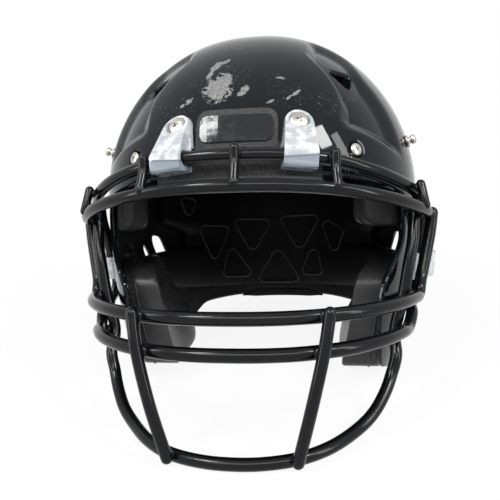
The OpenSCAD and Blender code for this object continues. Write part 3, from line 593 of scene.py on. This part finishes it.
def bar(b, x):
    """The point of the bent wire b at x."""
    half, front, deep, z, rise = b
    y = front + deep * (1 - max(0, 1 - (abs(x) / half) ** GUARD_N) ** (1 / GUARD_N))
    return Vector((x, y, z + rise * (abs(x) / half) ** 2.5))


def bar_x(b, y):
    half, front, deep = b[:3]
    return half * (1 - ((front + deep - y) / deep) ** GUARD_N) ** (1 / GUARD_N)


def bar_out(b, x):
    """The level direction out of the guard at x."""
    d = bar(b, x + 0.1) - bar(b, x - 0.1)
    return Vector((d.y, -d.x, 0)).normalized()


def flip(p):
    return Vector((-p[0], p[1], p[2]))


def both_halves(half):
    return [flip(p) for p in reversed(half[1:])] + list(half)


def drawn(points, closed=False, pitch=3.0):
    """Points along one smooth path through the given ones."""
    p = [Vector(q) for q in points]
    n = len(p)
    path = []
    for i in range(n if closed else n - 1):
        b, c = p[i], p[(i + 1) % n]
        a = p[i - 1] if closed or i else 2 * b - c
        d = p[(i + 2) % n] if closed or i < n - 2 else 2 * c - b
        count = max(1, round((c - b).length / pitch))
        for s in range(count):
            t = s / count
            path.append(0.5 * (2 * b + (c - a) * t + (2 * a - 5 * b + 4 * c - d) * t * t
                               + (3 * b - a - 3 * c + d) * t ** 3))
    return path if closed else path + [p[-1]]


def tube(path, d, noses=False, radii=None, sides=5):
    """A round wire along a path, with both its ends rounded to noses if that is asked for."""
    radii = radii or [1.0] * len(path)
    if noses:
        turns = [radians(a) for a in (25, 50, 70, 83)]
        first, last = (path[0] - path[1]).normalized(), (path[-1] - path[-2]).normalized()
        path = ([path[0] + first * d / 2 * sin(a) for a in reversed(turns)] + path
                + [path[-1] + last * d / 2 * sin(a) for a in turns])
        ends = [cos(a) for a in turns]
        radii = ends[::-1] + radii + ends
    data = bpy.data.curves.new("wire", "CURVE")
    data.dimensions = "3D"
    data.bevel_depth = d / 2
    data.bevel_resolution = sides
    data.use_fill_caps = True
    line = data.splines.new("POLY")
    line.points.add(len(path) - 1)
    for point, p, r in zip(line.points, path, radii):
        point.co = (*p, 1)
        point.radius = r
    only(new_object("wire", data))
    bpy.ops.object.convert(target="MESH")
    return bpy.context.object


def weld(p, across, along, size=(3.4, 3.4, 1.9)):
    """A weld bead at p: thin along the line between the two wires, long the other ways."""
    bpy.ops.mesh.primitive_ico_sphere_add(subdivisions=3, radius=1)
    bead = bpy.context.object
    n = Vector(across).normalized()
    a = Vector(along)
    a = (a - a.dot(n) * n).normalized()
    turn = Matrix((a, n.cross(a), n)).transposed().to_4x4()
    bead.data.transform(Matrix.Translation(p) @ turn @ Matrix.Diagonal((*size, 1)))
    return bead


def wire_coat():
    """Black dip coating, with a few chips that show brown."""
    f = Finish("wire_coat")
    coated = f.mix(f.noise(40, 4, 0.6), (0.0012, 0.0014, 0.0020), (0.0034, 0.0038, 0.0048))
    chips = f.steps(f.noise(150, 6, 0.7), 0.66, 0.72)
    return f.done({
        "Base Color": f.mix(chips, coated, (0.030, 0.024, 0.018)),
        "Roughness": f.steps(f.noise(120, 5, 0.6), 0.3, 0.7, 0.13, 0.21),
        "Specular IOR Level": 0.24,
    }, f.noise(260, 3, 0.55), 0.12, 0.0004)


coat = wire_coat()


def guard_piece(name, parts, *nodes):
    made = join(parts)
    made.name = name
    made.data.materials.clear()
    made.data.materials.append(coat)
    to_table(made, 60)
    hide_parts(*nodes)
    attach(made, "helmet")


def side_point(y, z, out):
    """A wire's middle, with the wire that far off the shell's left side."""
    return Vector(side_at(y, z)) + Vector((BROW_D / 2 + out, 0, 0))


side_run = [side_point(*q) for q in (
    (-74, 32.5, 2.8), (-61, 22, 2.4), (-51, 8, 1), (-42, -10, 0.8),
    (-38.5, -21, 0.8), (-46, -29.5, 1.2), (-62, -34, 2.4), (-79, -37.5, 5.6))]
loop_half = ([bar(UPPER, s * UPPER[0]) for s in (0, 0.26, 0.5, 0.7, 0.85, 0.94)] + side_run
             + [Vector((UNDER[0] + 0.8, -90, UNDER[3] + 14.5))]
             + [bar(UNDER, s * UNDER[0]) for s in (0.975, 0.92, 0.8, 0.62, 0.4, 0.2, 0)])
loop = drawn([flip(p) for p in reversed(loop_half)] + loop_half[1:-1], closed=True)
mouth_start = bar(UNDER, 0.975 * UNDER[0])
cut = min(range(len(loop)), key=lambda i: (loop[i] - flip(mouth_start)).length)
loop = loop[cut:] + loop[:cut]
turn_over = min(range(len(loop)), key=lambda i: (loop[i] - mouth_start).length)
hoop_path, under_path = loop[:turn_over + 1], loop[turn_over:] + [loop[0]]
taper = [min(1.0, 0.95 + 0.05 * min(i, len(under_path) - 1 - i) / 6) for i in range(len(under_path))]
guard_piece("guard_wire_brow_hoop", [tube(hoop_path, BROW_D)], "guard_brow_hoop")
guard_piece("guard_wire_mouth_lower", [tube(under_path, MOUTH_D, radii=taper)], "guard_mouth_lower")

lower_half = [bar(LOWER, s * LOWER[0]) for s in (0, 0.22, 0.44, 0.62, 0.77, 0.88, 0.95)]
lower_half += [Vector((LOWER[0] - 5, -86, LOWER[3] - 12.8)), Vector((LOWER[0] - 5.3, -78, LOWER[3] - 13.2))]
guard_piece("guard_wire_brow_lower", [tube(drawn(both_halves(lower_half)), BROW_D, noses=True)],
            "guard_brow_lower")

mouth_half = [bar(MOUTH, s * MOUTH[0]) for s in (0, 0.26, 0.5, 0.7, 0.86, 0.955, 0.985)]
mouth_half += [Vector((MOUTH[0] + x, y, MOUTH[3] + z)) for x, y, z in (
    (-1, -86, 9.5), (0.8, -80.5, 17), (3.4, -77.5, 27.5), (5.8, -75.5, 38), (8, -73.7, 49), (9.5, -72.3, 60))]
post_weld = Vector((LOWER[0] - 1.2, -74.5, LOWER[3] - 13))
parts = [tube(drawn(both_halves(mouth_half)), MOUTH_D, noses=True)]
for side, p in ((1, post_weld), (-1, flip(post_weld))):
    parts.append(weld(p, (side, 0.1, 0), UP, (4, 4, 2.6)))
guard_piece("guard_wire_mouth_upper", parts, "guard_mouth_upper")


def inside_bar(b, y, apart):
    """The point beside the wire b at y, half of apart inside the guard."""
    x = bar_x(b, y)
    return bar(b, x) - bar_out(b, x) * apart / 2


CHIN_WELD_Y = -98
top = bar(UPPER, bar_x(UPPER, -89.5))
under_brow = inside_bar(LOWER, -91, BROW_D + MOUTH_D - 0.1)
at_under_bar = inside_bar(UNDER, CHIN_WELD_Y, 2 * MOUTH_D + 1.2) + Vector((0, 0, -3))
at_mouth_bar = inside_bar(MOUTH, CHIN_WELD_Y, 2 * MOUTH_D) + Vector((0, 0, 1))
chin_half = [Vector((x, CHIN_Y + y, CHIN_Z + z)) for x, y, z in (
    (0, 0, 0), (18, 1.5, 0.5), (36.7, 7, 2.3), (53, 18.5, 5.3), (67, 33, 10.5), (77.5, 43.5, 18),
    (85, 53, 28), (89.6, 59.5, 38), (93, 62.5, 50))]
chin_half += [at_under_bar, at_mouth_bar, Vector((MOUTH[0] - 8.5, -95.5, MOUTH[3] + 26)),
              Vector((MOUTH[0] - 5.3, -93, MOUTH[3] + 42)), Vector((under_brow.x, under_brow.y, top.z - 14)),
              Vector((top.x - 0.6, top.y - 0.6, top.z - BROW_D / 2 - 1.2))]
beads = []
for b, p in ((UNDER, at_under_bar), (MOUTH, at_mouth_bar)):
    out = bar_out(b, bar_x(b, CHIN_WELD_Y))
    q = p + out * (MOUTH_D / 2 + 0.1)
    beads += [weld(q, out, UP), weld(flip(q), flip(out), UP)]
chin_wire = tube(drawn(both_halves(chin_half)), MOUTH_D - 0.4)
guard_piece("guard_wire_chin", [chin_wire] + beads, "guard_chin_wire")

# The uprights cross the mouth wires and the chin wire at these distances from the middle
AT_MOUTH_X, AT_UNDER_X, AT_CHIN_X = 51, 47.8, 36.7
UPRIGHT_APART = (MOUTH_D + POST_D) / 2 + WELD_GAP
for side, name in ((1, "left"), (-1, "right")):
    mouth_out, under_out = bar_out(MOUTH, AT_MOUTH_X), bar_out(UNDER, AT_UNDER_X)
    at_mouth = bar(MOUTH, AT_MOUTH_X) + UPRIGHT_APART * mouth_out
    at_under = bar(UNDER, AT_UNDER_X) + UPRIGHT_APART * under_out
    at_chin = Vector((AT_CHIN_X, CHIN_Y + 6.3 - UPRIGHT_APART, CHIN_Z + 3.5))
    line = [at_mouth + Vector((0.3, 0, 2.2)), at_mouth, at_under,
            (at_under + at_chin) / 2 + Vector((0.3, -2.2, 0)), at_chin + Vector((-0.4, 0.2, -1))]
    welds = [(at_mouth - mouth_out * POST_D / 2, mouth_out), (at_under - under_out * POST_D / 2, under_out),
             (at_chin + Vector((0, POST_D / 2, 0)), Vector((0.3, -1, 0)))]
    if side < 0:
        line, welds = [flip(p) for p in line], [(flip(p), flip(n)) for p, n in welds]
    parts = [tube(drawn(line), POST_D, noses=True)]
    parts += [weld(p, n, UP, (4.2, 4.2, 2)) for p, n in welds]
    guard_piece("guard_wire_upright_" + name, parts, "guard_upright_" + name)

TIE_APART = (BROW_D + TIE_D) / 2 + WELD_GAP
ties = []
for x in (2, 55.5, -51.5, 104, -100):
    out = bar_out(UPPER, x)
    p = bar(UPPER, x) + TIE_APART * out
    low = bar(LOWER, p.x) + 2.4 * bar_out(LOWER, p.x)
    low.z += BROW_D / 2 - 2.2
    if abs(x) > 90:
        line, bead = [low, p + 2 * (p - low).normalized()], 0.75
    else:
        line, bead = drawn([low, p + Vector((0, 0, -5)), p + Vector((0, 0, 3))]), 1.0
    ties.append(tube(line, TIE_D, noses=True))
    ties.append(weld(p - out * TIE_D / 2, out, UP, (3.6 * bead, 3.4 * bead, 2.1)))
    ties.append(weld(low + Vector((0, 1.2, 0.8)), UP, (1, 0, 0), (4.2 * bead, 3.6 * bead, 2.0)))
guard_piece("guard_wire_brow_ties", ties, "guard_brow_ties")


# ---- Clips
# Clear polycarbonate clips that hold the guard: a block over the brow wire on each side of the plate,
# and a saddle over each side run. They are moulded, with rounded edges and crazed backs.
EDGE_R = 0.0006
# Spacing of the dark stripes of painted shade on the front clips' lower band.
PAINTED_LINE_PITCH = 0.0035


def clear_plastic(name, band_top):
    """Clear plastic: clouded by crazing above the height band_top. Below it the colour is a darker blue grey,
    painted shade for the dark things seen through and mirrored in the band, crossed by dark stripes of
    painted shade where the edges of the loops show through.
    """
    f = Finish(name)
    crazed = f.noise(120, 4, 0.6)
    height = f.add("SeparateXYZ", {"Vector": f.coords})["Z"]
    above = f.steps(height, band_top, band_top + 0.001)
    # Below band_top the colour is painted shade: a darker blue grey for what shows through and is mirrored in
    # the clear band. Above it is the crazing's own whitish colour.
    body = f.mix(above, (0.48, 0.54, 0.61), f.mix(crazed, (0.68, 0.72, 0.76), (0.86, 0.88, 0.90)))
    # Dark stripes of painted shade, evenly spaced across the lower band, where the edges of the loops show
    # through.
    off_line = f.maths("PINGPONG", f.maths("SUBTRACT", height, band_top), PAINTED_LINE_PITCH)
    painted_edge_lines = f.maths("MULTIPLY", f.steps(off_line, 0.0003, 0.0007, 1.0, 0.0), f.maths("SUBTRACT", 1.0, above))
    cloudy = f.maths("MULTIPLY", above, f.steps(crazed, 0.38, 0.62, 0.02, 0.34))
    return f.done({
        # The dark colour of the painted-shade stripes.
        "Base Color": f.mix(f.maths("MULTIPLY", painted_edge_lines, 0.55), body, (0.16, 0.19, 0.23)),
        "Transmission Weight": f.maths("SUBTRACT", 0.62, cloudy),
        "IOR": 1.49,
        "Roughness": f.steps(crazed, 0.4, 0.75, 0.02, 0.14),
    }, crazed, 0.3, 0.0008)


def moulded_copy(name, node, material, thicker=0.0):
    """A copy of a packed clip, its loose triangles joined, its face thicker and its edges rounded over."""
    made = new_object(name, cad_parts[node].data.copy())
    only(made)
    with editing():
        bpy.ops.mesh.remove_doubles(threshold=0.00002)
        bpy.ops.mesh.dissolve_limited(angle_limit=radians(2))
    if thicker:
        made.data.transform(STAND.inverted())
        side = 1 if node.endswith("left") else -1
        middle, out = Vector((side * 114.984, -42, -10)), Vector((side * 0.986, -0.129, -0.104))
        for v in made.data.vertices:
            v.co += out * thicker * float(ease(((v.co - middle).dot(out) - 3.5) / 4))
        made.data.transform(STAND)
    edge = made.modifiers.new("rounded edges", "BEVEL")
    edge.width = EDGE_R
    edge.segments = 3
    edge.limit_method = "ANGLE"
    edge.angle_limit = radians(35)
    apply_modifiers(made)
    bpy.ops.object.shade_smooth_by_angle(angle=radians(40))
    made.data.materials.clear()
    made.data.materials.append(material)
    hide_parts(node)
    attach(made, "helmet")


clear_front = clear_plastic("clear_clip_plastic", 0.1650)
clear_side = clear_plastic("clear_saddle_plastic", 0.0)
for side in ("left", "right"):
    moulded_copy("clip_front_" + side, "front_clip_" + side, clear_front)
    moulded_copy("clip_side_" + side, "side_clip_" + side, clear_side, 3.0)


# ---- Screws, nuts, studs and snaps
# Nickel plated steel hardware, turned and headed, with plain steel nuts and washers inside the shell.
def plated(name, colour, rough):
    f = Finish(name)
    dull = f.noise(180, 5, 0.65)
    return f.done({
        "Base Color": f.mix(dull, tuple(c * 0.66 for c in colour), colour),
        "Metallic": 1,
        "Roughness": f.steps(dull, 0.3, 0.75, rough * 0.6, rough * 1.6),
    }, f.noise(900, 3, 0.5), 0.12, 0.0002)


nickel = plated("nickel_plate", (0.60, 0.57, 0.53), 0.22)
zinc = plated("zinc_nut", (0.55, 0.54, 0.52), 0.3)
CLIP_SCREW = np.array((35.7425, -129.25, 73.9232))
SIDE_SCREW = np.array((112.366, -25.8428, -2.90834))
SHANK_D, THREAD = 4.8, 0.8


def turned(profile):
    """A turned piece: its profile of radius and height is spun once round Z."""
    data = bpy.data.meshes.new("turned")
    data.from_pydata([(r, 0, z) for r, z in profile], [(i, i + 1) for i in range(len(profile) - 1)], [])
    made = new_object("turned", data)
    only(made)
    with editing():
        bpy.ops.mesh.spin(steps=40, angle=2 * pi, center=(0, 0, 0), axis=(0, 0, 1))
        bpy.ops.mesh.select_all(action="SELECT")
        bpy.ops.mesh.remove_doubles(threshold=0.001)
        bpy.ops.mesh.normals_make_consistent(inside=False)
    return made


def cross_driver(size, depth):
    """The tapered cross that forms a screw's recess, with its point down."""
    arms = []
    for a in (45, 135):
        bpy.ops.mesh.primitive_cube_add(size=1)
        arm = bpy.context.object
        for v in arm.data.vertices:
            narrow = 0.55 if v.co.z < 0 else 1
            v.co = (v.co.x * size * narrow, v.co.y * size * 0.24 * narrow, v.co.z * 2 * depth)
        arm.data.transform(Matrix.Rotation(radians(a), 4, "Z"))
        arms.append(arm)
    return arms


def pan_screw(head_d, base, length):
    """A pan head screw: its dome, rim and thread, turned with the head's seat at base."""
    r, h, s = head_d / 2, 0.26 * head_d, SHANK_D / 2
    dome = [(r * sin(radians(a)), h * (0.42 + 0.58 * cos(radians(a)))) for a in range(0, 91, 10)]
    rim = [(r, h * 0.2), (r * 0.985, h * 0.06), (r * 0.95, 0), (s, 0)]
    thread = []
    for k in range(int((length - THREAD / 2) / THREAD)):
        thread += [(s, -THREAD / 2 - THREAD * k), (s - 0.3, -THREAD - THREAD * k)]
    made = turned(dome + rim + thread + [(s - 0.3, -length), (0, -length)])
    for arm in cross_driver(head_d * 0.46, h * 0.62):
        arm.data.transform(Matrix.Translation((0, 0, h)))
        cut = made.modifiers.new("recess", "BOOLEAN")
        cut.object = arm
        cut.solver = "EXACT"
        apply_modifiers(made)
        bpy.data.objects.remove(arm)
    made.data.transform(Matrix.Translation((0, 0, base)))
    return made


def hardware(name, node, first, places, turn=0.0):
    """One piece of copies of a turned one, standing on both sides of the shell at each place."""
    copies = []
    for place in places:
        for side in (1, -1):
            origin, a, b, n = seat(place * (side, 1, 1))
            copy = new_object("copy", first.data.copy())
            axes = Matrix((a, b, n)).transposed().to_4x4()
            turned_by = Matrix.Rotation(radians(turn * side), 4, "Z")
            copy.data.transform(Matrix.Translation(origin) @ axes @ turned_by)
            copies.append(copy)
    made = join(copies)
    made.name = name
    bpy.data.objects.remove(first)
    made.data.materials.clear()
    made.data.materials.append(nickel)
    to_table(made, 40)
    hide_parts(node)
    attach(made, "helmet")


CLIP_TOP = 3.45
front_screw = pan_screw(11.5, CLIP_TOP + 0.5, CLIP_TOP + 0.5 + WALL)
hardware("pan_screws_front", "front_clip_screws", front_screw, [CLIP_SCREW], 12)
side_screw = pan_screw(9.5, CLIP_TOP + 0.3, CLIP_TOP + 0.3 + WALL)
hardware("pan_screws_side", "side_clip_screws", side_screw, [SIDE_SCREW], 30)
hardware("pan_screws_temple", "temple_screws", pan_screw(7.9, -0.8, WALL - 0.8), [temple_p], 70)

snap_stud = turned([
    (0, 6.9), (1.6, 6.87), (2.6, 6.6), (3.1, 6.2), (3.2, 5.8), (3.2, 4.2), (3.1, 3.9), (2.6, 3.7),
    (2.3, 3.4), (2.3, 2.4), (2.7, 1.85), (4.0, 1.75), (4.3, 1.5), (4.3, 0.5), (4.15, 0.25), (2.3, 0.2),
    (2.3, -WALL - 1.7), (2.0, -WALL - 1.9), (0, -WALL - 1.9)])
strap_places = [side_at(FRONT_Y + 77, 73.0), side_at(WIDE_Y + 25, -38.0)]
hardware("snap_studs", "chin_strap_studs", snap_stud, strap_places)
for node in ("clip_t_nuts", "stud_washers", "jaw_pad_snaps"):
    dress(node, zinc)


# ---- Lining
# Foam pads in smooth black vinyl and a soft moulded back lining with raised triangle outlines. Each pad
# starts as a divided cube, is rounded to a cushion, and is then laid against the inside of the shell.
PAD_GAP = 0.6
WELT_D, RIB_D = 1.7, 1.9


def vinyl():
    f = Finish("pad_vinyl")
    cloud = f.noise(45, 4, 0.55)
    grain = f.add("TexVoronoi", {"Vector": f.coords, "Scale": 900}, feature="SMOOTH_F1")["Distance"]
    return f.done({
        "Base Color": f.mix(cloud, (0.025, 0.025, 0.026), (0.041, 0.041, 0.042)),
        "Roughness": f.steps(cloud, 0.3, 0.7, 0.24, 0.34),
        "Specular IOR Level": 0.24,
    }, grain, 0.25, 0.0003)


def lining_rubber(name, dark, light, gloss):
    f = Finish(name)
    return f.done({
        "Base Color": f.mix(f.noise(35, 4, 0.6), dark, light),
        "Roughness": f.steps(f.noise(160, 4, 0.6), 0.3, 0.7, 0.5, 0.66),
        "Specular IOR Level": gloss,
    }, f.noise(800, 3, 0.6), 0.3, 0.0003)


pad_vinyl = vinyl()
dark_vinyl = lining_rubber("dark_pad_vinyl", (0.0050, 0.0050, 0.0054), (0.0095, 0.0095, 0.0100), 0.22)
soft_rubber = lining_rubber("lining_rubber", (0.0022, 0.0022, 0.0024), (0.0050, 0.0050, 0.0054), 0.15)


PLAN_ROUND = 5


def on_squircle(a):
    """The point at the angle a of a square with full round corners."""
    c, s = np.cos(a), np.sin(a)
    far = (np.abs(c) ** PLAN_ROUND + np.abs(s) ** PLAN_ROUND) ** (1 / PLAN_ROUND)
    return np.stack([c, s], -1) / far[..., None]


def crowned(r, crown):
    """The share of its thickness that a cushion keeps at r, from 0 in its middle to 1 at its edge."""
    return 1 - crown * r ** 4


def cushion(place, crown=0.16, crisp=7, cuts=26):
    """A cushion: place(q, f) puts the plan point q at the share f of the pad's thickness."""
    bpy.ops.object.select_all(action="DESELECT")
    bpy.ops.mesh.primitive_cube_add(size=2)
    pad = bpy.context.object
    with editing():
        bpy.ops.mesh.subdivide(number_cuts=cuts)
    v = np.array([p.co for p in pad.data.vertices])
    r, w = np.abs(v[:, :2]).max(1), v[:, 2]
    rounder = 1 / (r ** crisp + np.abs(w) ** crisp) ** (1 / crisp)
    r, w = r * rounder, w * rounder
    q = on_squircle(np.arctan2(v[:, 1], v[:, 0])) * r[:, None]
    pad.data.vertices.foreach_set("co", place(q, (w + 1) / 2 * crowned(r, crown)).ravel())
    with editing():
        bpy.ops.mesh.normals_make_consistent(inside=False)
    return pad


def welt(place, share):
    """The welt of the cover's seam, all round the side of a pad."""
    a = np.arange(120) * 2 * pi / 120
    rim = [Vector(p) for p in place(on_squircle(a) * 0.997, np.full(120, share))]
    return tube(rim + rim[:1], WELT_D, sides=2)


def pad_piece(name, parts, node, body, material):
    made = join(parts)
    made.name = name
    if not made.data.materials:
        made.data.materials.append(material)
    made.data.materials[0] = material
    to_table(made, 50)
    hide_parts(node)
    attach(made, body)


def direction(turn, up, side=1):
    """The direction at the angle up from straight overhead, turned that far from straight ahead."""
    return np.stack([side * np.sin(up) * np.sin(turn), -np.sin(up) * np.cos(turn), np.cos(up)], -1)


def against_dome(az, el, d_az, d_el, thick, side=1):
    def place(q, f):
        turn, up = np.radians(az - q[:, 0] * d_az), np.radians(el + q[:, 1] * d_el)
        return on_form(direction(turn, up, side), WALL + PAD_GAP + thick * f)
    return place


CROWN_REACH, CROWN_THICK, BACK_THICK = 33, 18, 16
BACK_MID_Z, BACK_HALF_Z = 16, 53
JAW_Y, JAW_HALF_Y, JAW_PAD_Z, JAW_HALF_Z = -42, 31, -43, 36
JAW_LEAN = radians(14)


def over_crown(q, f):
    turn, up = np.arctan2(q[:, 0], -q[:, 1]), np.radians(CROWN_REACH * np.linalg.norm(q, axis=1))
    return on_form(direction(turn, up), WALL + PAD_GAP + CROWN_THICK * f)


def back_span(z):
    """How many degrees to either side of straight back the back lining reaches at the height z."""
    return 47 + 17 * ease((z - 14) / 14) + 34 * ease((3 - z) / 8)


def round_back(q, f):
    z = BACK_MID_Z - q[:, 1] * BACK_HALF_Z
    az = np.radians(180 - q[:, 0] * back_span(z))
    d = np.stack([np.sin(az), -np.cos(az), 0 * z], -1)
    k = (level_at(z) / plan_sum(d + (0, WIDE_Y, 0))) ** (1 / PLAN_N)
    p = np.stack([k * d[:, 0], WIDE_Y + k * d[:, 1], z], -1)
    return p - outward(p) * (WALL + PAD_GAP + BACK_THICK * f)[:, None]


def beside_jaw(side):
    """Places a jaw cushion, which leans back and thickens towards its lower rear corner."""
    def place(q, f):
        c, s = cos(JAW_LEAN), sin(JAW_LEAN)
        a, b = q[:, 0] * c - q[:, 1] * s, q[:, 0] * s + q[:, 1] * c
        on_shell = side_at(JAW_Y - a * JAW_HALF_Y, JAW_PAD_Z - b * JAW_HALF_Z)
        thick = 28 + 13 * ease((1 - a) / 2) * ease((1 + b) / 1.4)
        inner = on_shell[:, 0] - (WALL + PAD_GAP) / outward(on_shell)[:, 0] - thick * f
        return np.stack([side * inner, on_shell[:, 1], on_shell[:, 2]], -1)
    return place


pad_piece("crown_cushion", [cushion(over_crown), welt(over_crown, 0.45)],
          "crown_pad", "helmet", dark_vinyl)
at_brow = against_dome(0, 74.5, 29, 9, 18)
pad_piece("forehead_cushion", [cushion(at_brow), welt(at_brow, 0.5)],
          "front_pad", "helmet", dark_vinyl)
for side, name in ((1, "left"), (-1, "right")):
    at_temple = against_dome(56, 94.5, 16, 7.5, 16.5, side)
    pad_piece("temple_cushion_" + name, [cushion(at_temple, crisp=9), welt(at_temple, 0.5)],
              "side_pad_" + name, "helmet", dark_vinyl)
    at_jaw = beside_jaw(side)
    parts = [cushion(at_jaw, crown=0.05, crisp=16, cuts=34), welt(at_jaw, 0.3)]
    pad_piece("jaw_cushion_" + name, parts,
              "jaw_pad_" + name, "jaw_pad_" + name, pad_vinyl)

# Each triangle outline on the back lining: corners as degrees round from the back and height
BACK_CROWN = 0.3
RIB_WIDE, RIB_GROWN, RIB_CORNER = 1.8, 1.22, 4.5
ribs = []
for corners in (
        [(-41, 21), (-26, 21), (-34, -13)],
        [(-21.8, 28), (-5.5, 28), (-13.4, -3)],
        [(0.3, 31), (17.1, 31), (8.3, -1.7)],
        [(19, 30), (31, 16), (27, -8.8)],
        [(-24.6, 1.3), (-28.5, -27), (-14.2, -27)],
        [(-1.6, -2.4), (-10, -33), (7.4, -33)],
        [(15.7, 5), (10, -26), (19.7, -26)],
        [(-54, 50), (-44, 50), (-49, 30)]):
    flat = np.array(corners) * (RIB_WIDE, 1)
    flat = flat.mean(0) + RIB_GROWN * (flat - flat.mean(0))
    flat = rounded([(x, z, RIB_CORNER) for x, z in flat], 6)
    across = flat[:, 0] / RIB_WIDE / back_span(flat[:, 1])
    q = np.stack([across, (BACK_MID_Z - flat[:, 1]) / BACK_HALF_Z], -1)
    r = (np.abs(q) ** PLAN_ROUND).sum(1) ** (1 / PLAN_ROUND)
    line = [Vector(p) for p in round_back(q, crowned(r, BACK_CROWN))]
    ribs.append(tube(drawn(line, closed=True) + [line[0]], RIB_D, sides=2))
rib = join(ribs)
rib.data.materials.clear()
rib.data.materials.append(lining_rubber("lining_rib", (0.016, 0.016, 0.017), (0.030, 0.030, 0.031), 0.5))
pad_piece("back_lining", [cushion(round_back, crown=BACK_CROWN, crisp=6, cuts=46), rib],
          "back_liner", "helmet", soft_rubber)


# ---- Floor, light and camera
# A plain pale floor and soft studio light, with the camera where the photographer stood.
bpy.ops.mesh.primitive_plane_add(size=14, location=(0, 0, 0))
floor = bpy.context.object
floor.name = "floor"


def past_light(nodes):
    """1 where the camera sees it, straight, in a gloss or through plastic, and 0 where it only lights."""
    rays = nodes.add("LightPath", {})
    return nodes.most(rays["Is Camera Ray"], rays["Is Glossy Ray"], rays["Is Transmission Ray"])


pale = Finish("pale_floor")
away = pale.add("VectorMath", {0: pale.coords}, operation="LENGTH")["Value"]
share = pale.maths("MULTIPLY", past_light(pale), pale.steps(away, 0.2, 0.7, 0.9, 1.0))
glow = pale.add("Emission", {"Color": (1, 1, 1)})["Emission"]
mixed = pale.add("MixShader", {0: share, 1: pale.shader.outputs["BSDF"], 2: glow})[0]
pale.feed(pale.tree.nodes["Material Output"].inputs["Surface"], mixed)
pale.feed(pale.shader.inputs["Base Color"], (0.86, 0.86, 0.86))
pale.feed(pale.shader.inputs["Roughness"], 0.9)
floor.data.materials.append(pale.made)

world = bpy.data.worlds.new("studio")
bpy.context.scene.world = world
world.use_nodes = True
sky = Nodes(world.node_tree)
background = world.node_tree.nodes["Background"].inputs
strength = sky.add("MapRange", {"Value": past_light(sky), "To Min": 0.25, "To Max": 1.0})["Result"]
sky.feed(background["Color"], (1, 1, 1))
sky.feed(background["Strength"], strength)

for name, place, aim, size, power in (
        ("window_left", (-0.84, -1.12, 1.75), (0, -0.05, 0.15), (0.34, 0.55), 20),
        ("window_right", (1.25, -0.92, 1.55), (0, -0.05, 0.15), (0.34, 0.50), 20),
        ("far_window", (0.1, -2.1, 1.85), (0, 0, 0.1), (2.6, 0.5), 30),
        ("side_window_left", (-1.5, -0.75, 0.75), (0, 0, 0.12), (0.2, 1.3), 9),
        ("side_window_right", (1.5, -0.65, 0.75), (0, 0, 0.12), (0.2, 1.3), 9)):
    light = bpy.data.lights.new(name, "AREA")
    light.shape = "RECTANGLE"
    light.size, light.size_y = size
    light.energy = power
    lamp = new_object(name, light)
    lamp.location = place
    lamp.rotation_euler = (Vector(aim) - Vector(place)).to_track_quat("-Z", "Y").to_euler()

shoot = bpy.data.cameras.new("camera")
shoot.sensor_width, shoot.lens = 36, 43.34
camera = new_object("camera", shoot)
EYE = Vector((62.515, -487.077, 0))
YAW, ROLL = 0.156677, 0.0143313
ahead = Vector((-sin(YAW), cos(YAW), 0))
right = Vector((cos(YAW), sin(YAW), 0))
up = Vector((0, 0, 1))
axis_x = cos(ROLL) * right - sin(ROLL) * up
axis_y = sin(ROLL) * right + cos(ROLL) * up
as_worn = Matrix((axis_x, axis_y, -ahead)).transposed()
turn = Matrix.Rotation(-LEAN, 3, "X")
camera.matrix_world = Matrix.Translation(STAND @ EYE) @ (turn @ as_worn).to_4x4()
bpy.context.scene.camera = camera
bpy.context.scene.view_settings.view_transform = "Standard"
